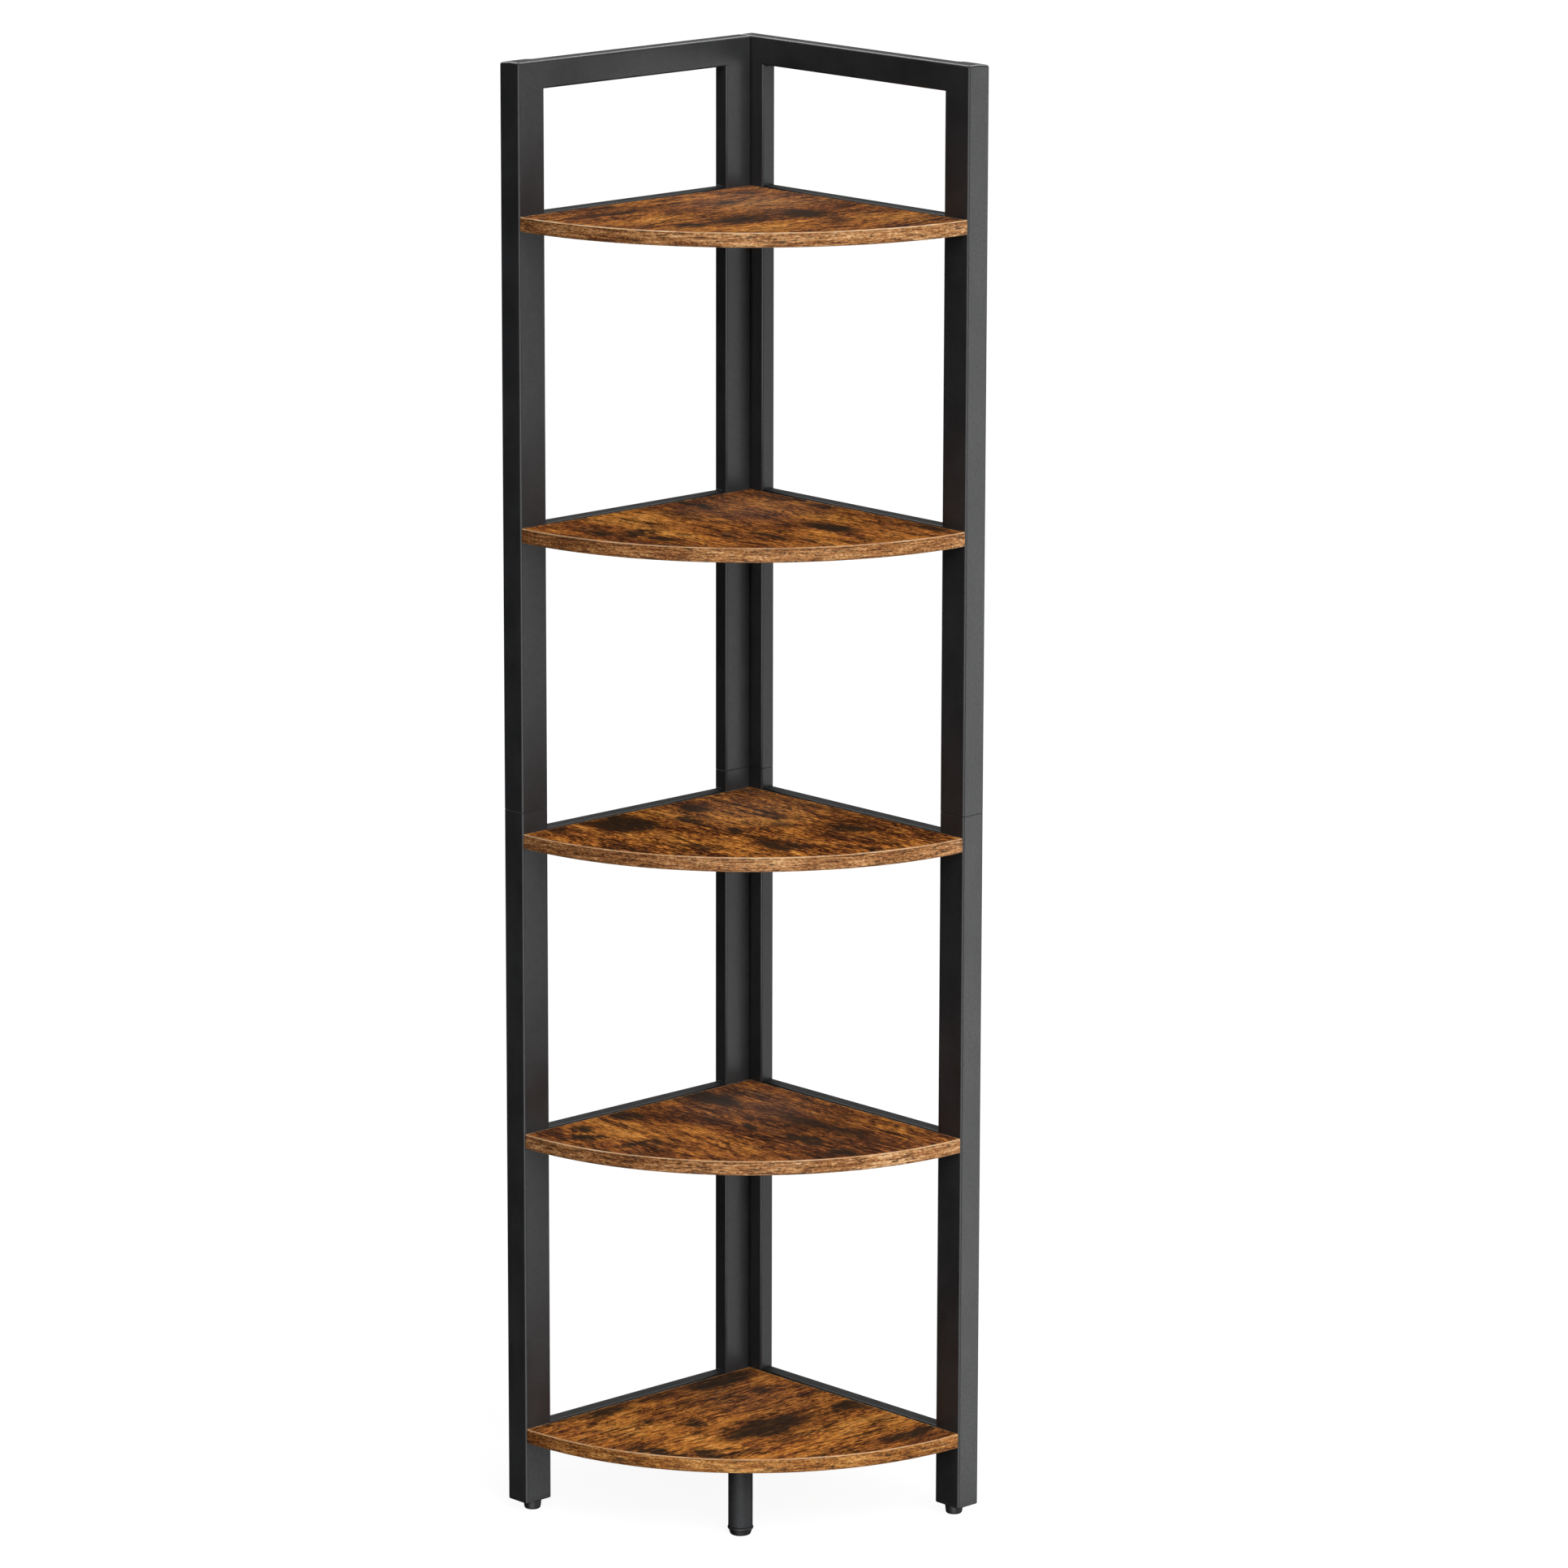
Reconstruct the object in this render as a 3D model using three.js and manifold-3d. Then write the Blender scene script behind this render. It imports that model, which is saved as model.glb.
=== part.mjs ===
// Five-tier quarter-round corner shelf unit.
//
// Two flat welded tube frames stand at a right angle. The right frame runs
// through to the outer corner and the left frame butts against its inner face.
// Each frame comes in a lower and an upper half that plug together on sleeves
// just above the third shelf. Five quarter-round boards sit inside the frames,
// level with the crossbars and screwed to them from outside, and tie the two
// frames together. A short round leg carries the front of the lowest board,
// and an adjustable foot stands under each post.
//
// Millimetres, +Z up. The origin is on the floor, under the middle of the
// overall footprint. The corner of the unit points to -X +Y, the round front
// to +X -Y.

import * as THREE from 'three';
import { mergeVertices } from 'three/addons/utils/BufferGeometryUtils.js';
import Module from 'manifold-3d';

// ---------------------------------------------------------------- dimensions
const SIDE = 275;            // inside length of each frame, and board radius
const POST_FACE = 30;        // post width, seen square on to the frame
const FRONT_POST_DEPTH = 25; // front post depth, outward from the inside face
const REAR_POST_DEPTH = 15;  // rear post depth, outward from the inside face
const TUBE_WALL = 1.2;       // wall of every frame tube
const TUBE_CORNER = 2;       // outer corner radius of every frame tube
const BAR = 15;              // square crossbar
const RAIL_HEIGHT = 25;      // top rail height
const RAIL_DEPTH = 15;       // top rail depth
const HEIGHT = 1315;         // overall height
const FOOT_HEIGHT = 10;      // foot below the post plug, screwed right in
const PLUG_RIM = 3;          // rim of the post plug, flush with the tube
const SPLIT = 650;           // height of the joint between the frame halves
const SHELF_PITCH = 275;     // board to board
const LOWEST_BAR_TOP = 82;   // top of the lowest crossbars
const BOARD = 13;            // board thickness
const BOARD_DROP = 1;        // board top below the crossbar top
const GAP = 0.3;             // clearance between pieces that touch
const SLEEVE_LENGTH = 70;
const SLEEVE_WALL = 1.5;
const PLUG_LENGTH = 20;      // plug length inside the tube
const STUD_D = 6;            // foot stud
const STUD_LENGTH = 26;      // foot stud above the pad
const FOOT_TOP_R = 8.1;      // foot pad radius at the top
const SCREW_D = 5;           // board screw shank
const SCREW_GRIP = 12;       // board screw length inside the board
const SCREW_HEAD_D = 9.5;
const SCREW_HEAD_H = 2.6;
const SCREW_SOCKET = 3;      // across flats
const SCREW_AT = [78, 206];  // screw places along a crossbar, from the corner
const LEG_D = 22;            // front leg tube
const LEG_WALL = 1.5;
const LEG_TOP_PLATE = 3;
const LEG_AT = 169;          // leg centre from each inside face
const LEG_CAP_H = 8;         // end cap below the leg tube
const LEG_STUD_D = 8;
const LEG_STUD_GRIP = 9;     // leg stud length inside the board

const FOOTPRINT = SIDE + FRONT_POST_DEPTH;     // 300
const CORNER_X = -FOOTPRINT / 2 + FRONT_POST_DEPTH; // inside corner, X
const CORNER_Y = FOOTPRINT / 2 - FRONT_POST_DEPTH;  // inside corner, Y
// u runs from the inside corner along the right frame, v along the left frame
const X = (u) => CORNER_X + u;
const Y = (v) => CORNER_Y - v;

const POST_BOTTOM = FOOT_HEIGHT + PLUG_RIM + GAP;
const BAR_TOPS = [4, 3, 2, 1, 0].map((i) => LOWEST_BAR_TOP + i * SHELF_PITCH);

// ----------------------------------------------------------------- materials
const steel = new THREE.MeshStandardMaterial({ color: 0x26272a, roughness: 0.55, metalness: 0.35 });
const wood = new THREE.MeshStandardMaterial({ color: 0x8a5428, roughness: 0.5, metalness: 0 });
const plastic = new THREE.MeshStandardMaterial({ color: 0x161617, roughness: 0.6, metalness: 0 });
const screwSteel = new THREE.MeshStandardMaterial({ color: 0x2a2a2c, roughness: 0.4, metalness: 0.8 });
const sleeveMaterial = new THREE.MeshStandardMaterial({ color: 0x1d1d1f, roughness: 0.65, metalness: 0 });
const zinc = new THREE.MeshStandardMaterial({ color: 0xb9bcc0, roughness: 0.35, metalness: 0.9 });

// ------------------------------------------------------------ solid booleans
const wasm = await Module();
wasm.setup();

function toSolid(geometry) {
  const g = geometry.clone();
  g.deleteAttribute('normal');
  g.deleteAttribute('uv');
  const m = mergeVertices(g, 1e-4);
  return new wasm.Manifold(new wasm.Mesh({
    numProp: 3,
    vertProperties: new Float32Array(m.attributes.position.array),
    triVerts: new Uint32Array(m.index.array),
  }));
}

function toGeometry(solid) {
  const mesh = solid.getMesh();
  const g = new THREE.BufferGeometry();
  g.setAttribute('position', new THREE.BufferAttribute(new Float32Array(mesh.vertProperties), 3));
  g.setIndex(new THREE.BufferAttribute(new Uint32Array(mesh.triVerts), 1));
  g.computeVertexNormals();
  return g;
}

function cut(geometry, ...tools) {
  let solid = toSolid(geometry);
  for (const tool of tools) solid = solid.subtract(toSolid(tool));
  return toGeometry(solid);
}

function join(geometry, ...others) {
  let solid = toSolid(geometry);
  for (const other of others) solid = solid.add(toSolid(other));
  return toGeometry(solid);
}

// -------------------------------------------------------------------- shapes
// Outline of a rounded rectangle, a along X and b along Y, round the origin.
function roundedRect(target, a, b, r) {
  const x = a / 2;
  const y = b / 2;
  target.moveTo(-x + r, -y);
  target.lineTo(x - r, -y);
  target.absarc(x - r, -y + r, r, -Math.PI / 2, 0, false);
  target.lineTo(x, y - r);
  target.absarc(x - r, y - r, r, 0, Math.PI / 2, false);
  target.lineTo(-x + r, y);
  target.absarc(-x + r, y - r, r, Math.PI / 2, Math.PI, false);
  target.lineTo(-x, -y + r);
  target.absarc(-x + r, -y + r, r, Math.PI, Math.PI * 1.5, false);
  return target;
}

function bar(a, b, r, length, segments = 2) {
  return new THREE.ExtrudeGeometry(roundedRect(new THREE.Shape(), a, b, r),
    { depth: length, bevelEnabled: false, curveSegments: segments });
}

// Rectangular tube along +Z from z = 0, open at both ends.
function tube(a, b, length, wall = TUBE_WALL, corner = TUBE_CORNER) {
  const shape = roundedRect(new THREE.Shape(), a, b, corner);
  shape.holes.push(roundedRect(new THREE.Path(), a - 2 * wall, b - 2 * wall, corner - wall * 0.75));
  return new THREE.ExtrudeGeometry(shape, { depth: length, bevelEnabled: false, curveSegments: 2 });
}

// The same tube, closed at the top by a welded plate ground flush.
function cappedTube(a, b, length) {
  const body = bar(a, b, TUBE_CORNER, length);
  const bore = bar(a - 2 * TUBE_WALL, b - 2 * TUBE_WALL, TUBE_CORNER - TUBE_WALL * 0.75, length - 2 + 5);
  bore.translate(0, 0, -5);
  return cut(body, bore);
}

function rod(d, length, segments = 12) {
  const g = new THREE.CylinderGeometry(d / 2, d / 2, length, segments);
  g.rotateX(Math.PI / 2);
  g.translate(0, 0, length / 2);
  return g;
}

// Lathe about +Z from [radius, z] pairs.
function turned(points, segments) {
  const g = new THREE.LatheGeometry(points.map(([r, z]) => new THREE.Vector2(r, z)), segments);
  g.rotateX(Math.PI / 2);
  return g;
}

// --------------------------------------------------------------------- scene
const unit = new THREE.Group();

function piece(parent, name, geometry, material, x = 0, y = 0, z = 0) {
  const mesh = new THREE.Mesh(geometry, material);
  mesh.name = name;
  mesh.position.set(x, y, z);
  parent.add(mesh);
  return mesh;
}

// Each post: its name, its middle in the plan, its section along X and Y.
const posts = [
  { name: 'left_front', x: X(-FRONT_POST_DEPTH / 2), y: Y(SIDE - POST_FACE / 2), a: FRONT_POST_DEPTH, b: POST_FACE, footX: 0, footY: 3, footScale: 1 },
  { name: 'left_rear', x: X(-REAR_POST_DEPTH / 2), y: Y(GAP + (POST_FACE - GAP) / 2), a: REAR_POST_DEPTH, b: POST_FACE - GAP, footX: 0, footY: 0, footScale: 0.9 },
  { name: 'right_rear', x: X(-REAR_POST_DEPTH + POST_FACE / 2), y: Y(-REAR_POST_DEPTH / 2), a: POST_FACE, b: REAR_POST_DEPTH, footX: 0, footY: 0, footScale: 0.9 },
  { name: 'right_front', x: X(SIDE - POST_FACE / 2), y: Y(-FRONT_POST_DEPTH / 2), a: POST_FACE, b: FRONT_POST_DEPTH, footX: -3, footY: 0, footScale: 1 },
];

const frames = new THREE.Group();
unit.add(frames);

for (const p of posts) {
  const column = new THREE.Group();
  column.position.set(p.x, p.y, 0);
  frames.add(column);

  piece(column, `${p.name}_post_lower`, tube(p.a, p.b, SPLIT - GAP / 2 - POST_BOTTOM), steel, 0, 0, POST_BOTTOM);
  piece(column, `${p.name}_post_upper`, cappedTube(p.a, p.b, HEIGHT - SPLIT - GAP / 2), steel, 0, 0, SPLIT + GAP / 2);

  const innerA = p.a - 2 * TUBE_WALL - 2 * GAP;
  const innerB = p.b - 2 * TUBE_WALL - 2 * GAP;
  piece(column, `${p.name}_post_sleeve`, tube(innerA, innerB, SLEEVE_LENGTH, SLEEVE_WALL, 1.6), sleeveMaterial,
    0, 0, SPLIT - SLEEVE_LENGTH / 2);

  // plug: a rim flush with the tube, a body inside it and a bore for the stud
  const rim = bar(p.a, p.b, TUBE_CORNER, PLUG_RIM);
  const body = bar(innerA, innerB, 1.2, PLUG_LENGTH + 1);
  body.translate(0, 0, PLUG_RIM - 1);
  const bore = rod(STUD_D + 2 * GAP, PLUG_LENGTH + PLUG_RIM + 4);
  bore.translate(p.footX, p.footY, -2);
  piece(column, `${p.name}_post_plug`, cut(join(rim, body), bore), plastic, 0, 0, FOOT_HEIGHT);

  // foot: a round pad with a threaded stud, screwed up into the plug
  const s = p.footScale;
  const r = STUD_D / 2;
  const top = FOOT_HEIGHT - GAP;
  piece(column, `${p.name}_foot`, turned([
    [0, 0], [5.9 * s, 0], [7.1 * s, 0.7], [7.6 * s, 2], [FOOT_TOP_R * s, 7.6], [FOOT_TOP_R * s - 0.5, top], [r, top],
    [r, top + STUD_LENGTH - 1], [r - 1, top + STUD_LENGTH], [0, top + STUD_LENGTH],
  ], 20), plastic, p.footX, p.footY, 0);
}

// top rails, between the posts of each frame
const railZ = HEIGHT - RAIL_HEIGHT / 2;
const leftRun = SIDE - 2 * POST_FACE - 2 * GAP;      // between left posts
const rightStart = POST_FACE - REAR_POST_DEPTH + GAP; // beside the right rear post
const rightRun = SIDE - POST_FACE - GAP - rightStart;

const leftRail = piece(frames, 'left_top_rail', tube(RAIL_DEPTH, RAIL_HEIGHT, leftRun), steel,
  X(-RAIL_DEPTH / 2), Y(POST_FACE + GAP), railZ);
leftRail.rotation.x = Math.PI / 2;
const rightRail = piece(frames, 'right_top_rail', tube(RAIL_HEIGHT, RAIL_DEPTH, rightRun), steel,
  X(rightStart), Y(-RAIL_DEPTH / 2), railZ);
rightRail.rotation.y = Math.PI / 2;

// board screw: button head with a hexagon socket, head on the -Z side
function boardScrew() {
  const h = SCREW_HEAD_H;
  const r = SCREW_D / 2;
  const R = SCREW_HEAD_D / 2;
  const length = BAR + GAP * 2 + SCREW_GRIP;
  const body = turned([
    [0, -h], [R * 0.62, -h], [R * 0.9, -h * 0.62], [R, -h * 0.12], [R, 0], [r, 0], [r, length - 1.2], [r - 1.2, length], [0, length],
  ], 12);
  const socket = rod(SCREW_SOCKET * 1.1547, 1.6 + 1, 6);
  socket.translate(0, 0, -h - 1);
  return cut(body, socket);
}

const BLIND = SCREW_GRIP + 1.5; // blind hole depth in the board edge

BAR_TOPS.forEach((barTop, i) => {
  const n = i + 1;
  const barZ = barTop - BAR / 2;

  // left crossbar, along -Y
  {
    const holes = SCREW_AT.map((v) => {
      const g = rod(SCREW_D + 2 * GAP, BAR + 10, 10);
      g.rotateY(Math.PI / 2);
      g.translate(-(BAR + 10) / 2, 0, v - POST_FACE - GAP);
      return g;
    });
    const m = piece(frames, `left_crossbar_${n}`, cut(tube(BAR, BAR, leftRun), ...holes), steel,
      X(-BAR / 2), Y(POST_FACE + GAP), barZ);
    m.rotation.x = Math.PI / 2;
  }
  // right crossbar, along +X
  {
    const holes = SCREW_AT.map((u) => {
      const g = rod(SCREW_D + 2 * GAP, BAR + 10, 10);
      g.rotateX(Math.PI / 2);
      g.translate(0, (BAR + 10) / 2, u - rightStart);
      return g;
    });
    const m = piece(frames, `right_crossbar_${n}`, cut(tube(BAR, BAR, rightRun), ...holes), steel,
      X(rightStart), Y(-BAR / 2), barZ);
    m.rotation.y = Math.PI / 2;
  }

  // quarter-round board, drilled from its two straight edges
  const boardTop = barTop - BOARD_DROP;
  const outline = new THREE.Shape();
  const reach = Math.sqrt(SIDE * SIDE - GAP * GAP);
  const end = Math.asin(GAP / SIDE);
  outline.moveTo(GAP, -GAP);
  outline.lineTo(GAP, -reach);
  outline.absarc(0, 0, SIDE, -Math.PI / 2 + end, -end, false);
  outline.lineTo(GAP, -GAP);
  const slab = new THREE.ExtrudeGeometry(outline, { depth: BOARD, bevelEnabled: false, curveSegments: 40 });
  const mid = barZ - (boardTop - BOARD);
  const drills = [];
  for (const s of SCREW_AT) {
    const a = rod(SCREW_D + 2 * GAP, BLIND + 5, 10);
    a.rotateY(Math.PI / 2);
    a.translate(-5, -s, mid);
    const b = rod(SCREW_D + 2 * GAP, BLIND + 5, 10);
    b.rotateX(Math.PI / 2);
    b.translate(s, 5, mid);
    drills.push(a, b);
  }
  if (n === 5) {
    const c = rod(LEG_STUD_D + 2 * GAP, LEG_STUD_GRIP + 0.6 + 5, 12);
    c.translate(LEG_AT, -LEG_AT, -5);
    drills.push(c);
  }
  piece(unit, `shelf_board_${n}`, cut(slab, ...drills), wood, CORNER_X, CORNER_Y, boardTop - BOARD);

  // board screws, two through each crossbar
  SCREW_AT.forEach((s, k) => {
    const left = piece(unit, `left_board_screw_${n}${'ab'[k]}`, boardScrew(), screwSteel,
      X(-BAR - GAP), Y(s), barZ);
    left.rotation.y = Math.PI / 2;
    const right = piece(unit, `right_board_screw_${n}${'ab'[k]}`, boardScrew(), screwSteel,
      X(s), Y(-BAR - GAP), barZ);
    right.rotation.x = Math.PI / 2;
  });
});

// ----------------------------------------------------------------- front leg
const boardUnderside = BAR_TOPS[4] - BOARD_DROP - BOARD;
const leg = new THREE.Group();
leg.position.set(X(LEG_AT), Y(LEG_AT), 0);
unit.add(leg);

const legTop = boardUnderside - GAP;
const legBottom = LEG_CAP_H + GAP;
const R = LEG_D / 2;
const plateBore = LEG_STUD_D / 2 + GAP;
piece(leg, 'front_leg_tube', turned([
  [R, legBottom], [R, legTop], [plateBore, legTop], [plateBore, legTop - LEG_TOP_PLATE],
  [R - LEG_WALL, legTop - LEG_TOP_PLATE], [R - LEG_WALL, legBottom], [R, legBottom],
], 28), steel);

piece(leg, 'front_leg_stud', turned([
  [0, boardUnderside - 12], [LEG_STUD_D / 2 - 1, boardUnderside - 12], [LEG_STUD_D / 2, boardUnderside - 11],
  [LEG_STUD_D / 2, boardUnderside + LEG_STUD_GRIP - 1], [LEG_STUD_D / 2 - 1, boardUnderside + LEG_STUD_GRIP],
  [0, boardUnderside + LEG_STUD_GRIP],
], 12), zinc);

piece(leg, 'front_leg_cap', turned([
  [0, 0], [8.4, 0], [9.3, 0.6], [10.6, 5.2], [11.6, 5.6], [11.6, 7.5], [11.1, LEG_CAP_H],
  [R - LEG_WALL - GAP, LEG_CAP_H], [R - LEG_WALL - GAP, LEG_CAP_H + 13], [R - LEG_WALL - GAP - 1, LEG_CAP_H + 14],
  [0, LEG_CAP_H + 14],
], 28), plastic);

export default unit;
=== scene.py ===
import math

import bpy
from mathutils import Matrix, Vector


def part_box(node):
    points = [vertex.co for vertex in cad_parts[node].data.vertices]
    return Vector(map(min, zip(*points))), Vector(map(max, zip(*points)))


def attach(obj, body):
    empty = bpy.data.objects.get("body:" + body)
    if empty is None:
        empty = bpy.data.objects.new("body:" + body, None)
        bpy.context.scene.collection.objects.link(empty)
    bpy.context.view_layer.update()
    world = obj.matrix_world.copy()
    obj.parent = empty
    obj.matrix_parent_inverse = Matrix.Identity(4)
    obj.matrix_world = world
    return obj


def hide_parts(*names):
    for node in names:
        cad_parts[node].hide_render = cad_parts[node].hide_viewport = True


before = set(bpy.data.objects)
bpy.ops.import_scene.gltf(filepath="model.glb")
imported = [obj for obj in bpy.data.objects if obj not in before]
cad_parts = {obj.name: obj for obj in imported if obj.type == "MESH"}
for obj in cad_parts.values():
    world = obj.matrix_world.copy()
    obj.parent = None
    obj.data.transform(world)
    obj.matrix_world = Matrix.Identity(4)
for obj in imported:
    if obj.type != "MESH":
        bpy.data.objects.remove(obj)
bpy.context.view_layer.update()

MM = 0.001
scene = bpy.context.scene

# ------------------------------------------------------------------ sizes, mm
# u runs from the inside corner along the right frame, v along the left frame.
SIDE = 275.0
CORNER_X, CORNER_Y = -125.0, 125.0
HEIGHT = 1315.0
SPLIT = 650.0
BAR_TOPS = [82.0 + 275.0 * i for i in (4, 3, 2, 1, 0)]
BAR = 15.0
RAIL = 25.0
BOARD = 13.0
TUBE_R = 2.0
TOP_R = 2.2          # rounding of the upper edges of the rails and of the closed posts
TOP_FALL = 1.6       # how far the top of a front post falls away behind the rail
WALL = 1.2
LEG_U = 169.0
SCREWS = (78.0, 206.0)
BAND = 1.5          # front edge band thickness
ARRIS = 1.0         # its rounded edge
BACK_BAND = 0.7     # band on the two straight edges

# post: middle in the plan, size along X and Y
POSTS = {
    "left_front": (-137.5, -135.0, 25.0, 30.0),
    "left_rear": (-132.5, 109.85, 15.0, 29.7),
    "right_rear": (-125.0, 132.5, 30.0, 15.0),
    "right_front": (135.0, 137.5, 30.0, 25.0),
}


# -------------------------------------------------------------- mesh helpers
def new_object(name, verts, faces, material=None, smooth=True, face_mats=None, materials=None):
    """One closed piece from points in millimetres."""
    mesh = bpy.data.meshes.new(name)
    mesh.from_pydata([(x * MM, y * MM, z * MM) for x, y, z in verts], [], faces)
    mesh.validate()
    obj = bpy.data.objects.new(name, mesh)
    scene.collection.objects.link(obj)
    for m in (materials or ([material] if material else [])):
        mesh.materials.append(m)
    if face_mats:
        mesh.polygons.foreach_set("material_index", face_mats)
    if smooth:
        mesh.polygons.foreach_set("use_smooth", [True] * len(mesh.polygons))
        mesh.set_sharp_from_angle(angle=math.radians(38))
        w = obj.modifiers.new("weighted_normals", "WEIGHTED_NORMAL")
        w.mode = "FACE_AREA"
        w.weight = 60
        w.keep_sharp = True
    mesh.update()
    return obj


def rings_to_shell(rings, cap_start=True, cap_end=True, closed=False):
    """Faces that join rings of equal length in order. closed joins the last ring to the first."""
    n = len(rings[0])
    verts = [p for ring in rings for p in ring]
    faces = []
    last = len(rings) if closed else len(rings) - 1
    for i in range(last):
        a, b = i * n, ((i + 1) % len(rings)) * n
        for k in range(n):
            k2 = (k + 1) % n
            faces.append((a + k, a + k2, b + k2, b + k))
    if not closed:
        if cap_start:
            faces.append(tuple(range(n - 1, -1, -1)))
        if cap_end:
            base = (len(rings) - 1) * n
            faces.append(tuple(range(base, base + n)))
    return verts, faces


class Build:
    """Collects shells into one mesh."""

    def __init__(self):
        self.verts, self.faces, self.mats = [], [], []

    def add(self, shell, mat=0):
        verts, faces = shell
        base = len(self.verts)
        self.verts += verts
        self.faces += [tuple(base + i for i in f) for f in faces]
        self.mats += [mat] * len(faces)

    def make(self, name, *materials, smooth=True):
        return new_object(name, self.verts, self.faces, smooth=smooth, face_mats=self.mats, materials=materials)


def rounded_rect(a, b, r, seg=6, flat=1):
    """Outline of a rounded rectangle about the origin, counter-clockwise, with flat extra points on each side."""
    r = max(r, 0.02)
    out = []
    centres = [(a / 2 - r, -b / 2 + r, -90), (a / 2 - r, b / 2 - r, 0), (-a / 2 + r, b / 2 - r, 90), (-a / 2 + r, -b / 2 + r, 180)]
    for i, (cx, cy, start) in enumerate(centres):
        for s in range(seg + 1):
            t = math.radians(start + 90.0 * s / seg)
            out.append((cx + r * math.cos(t), cy + r * math.sin(t)))
        nx, ny, nstart = centres[(i + 1) % 4]
        t = math.radians(nstart)
        ex, ey = nx + r * math.cos(t), ny + r * math.sin(t)
        sx, sy = out[-1]
        for k in range(1, flat + 1):
            f = k / (flat + 1)
            out.append((sx + (ex - sx) * f, sy + (ey - sy) * f))
    return out


def lathe(profile, seg=48, cx=0.0, cy=0.0):
    """Closed shell of revolution about +Z from [radius, z] pairs, from axis to axis or closed on itself."""
    on_axis = profile[0][0] < 1e-6 and profile[-1][0] < 1e-6
    body = profile[1:-1] if on_axis else profile
    rings = []
    for r, z in body:
        rings.append([(cx + r * math.cos(2 * math.pi * k / seg), cy + r * math.sin(2 * math.pi * k / seg), z) for k in range(seg)])
    if on_axis:
        verts, faces = rings_to_shell(rings, cap_start=False, cap_end=False)
        a = len(verts)
        verts.append((cx, cy, profile[0][1]))
        verts.append((cx, cy, profile[-1][1]))
        base = (len(rings) - 1) * seg
        for k in range(seg):
            k2 = (k + 1) % seg
            faces.append((a, k2, k))
            faces.append((a + 1, base + k, base + k2))
        return verts, faces
    return rings_to_shell(rings, closed=True)


def soften(profile, radius, steps=4):
    """Rounds the inner corners of a [radius, z] profile."""
    out = [profile[0]]
    for i in range(1, len(profile) - 1):
        p0, p1, p2 = (Vector(profile[j]) for j in (i - 1, i, i + 1))
        a, b = p0 - p1, p2 - p1
        cut = min(radius, a.length * 0.45, b.length * 0.45)
        if cut < 0.02:
            out.append(tuple(p1))
            continue
        s, e = p1 + a.normalized() * cut, p1 + b.normalized() * cut
        for k in range(steps + 1):
            t = k / steps
            q = s * (1 - t) ** 2 + p1 * 2 * t * (1 - t) + e * t ** 2
            out.append((q.x, q.y))
    out.append(profile[-1])
    return out


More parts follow.
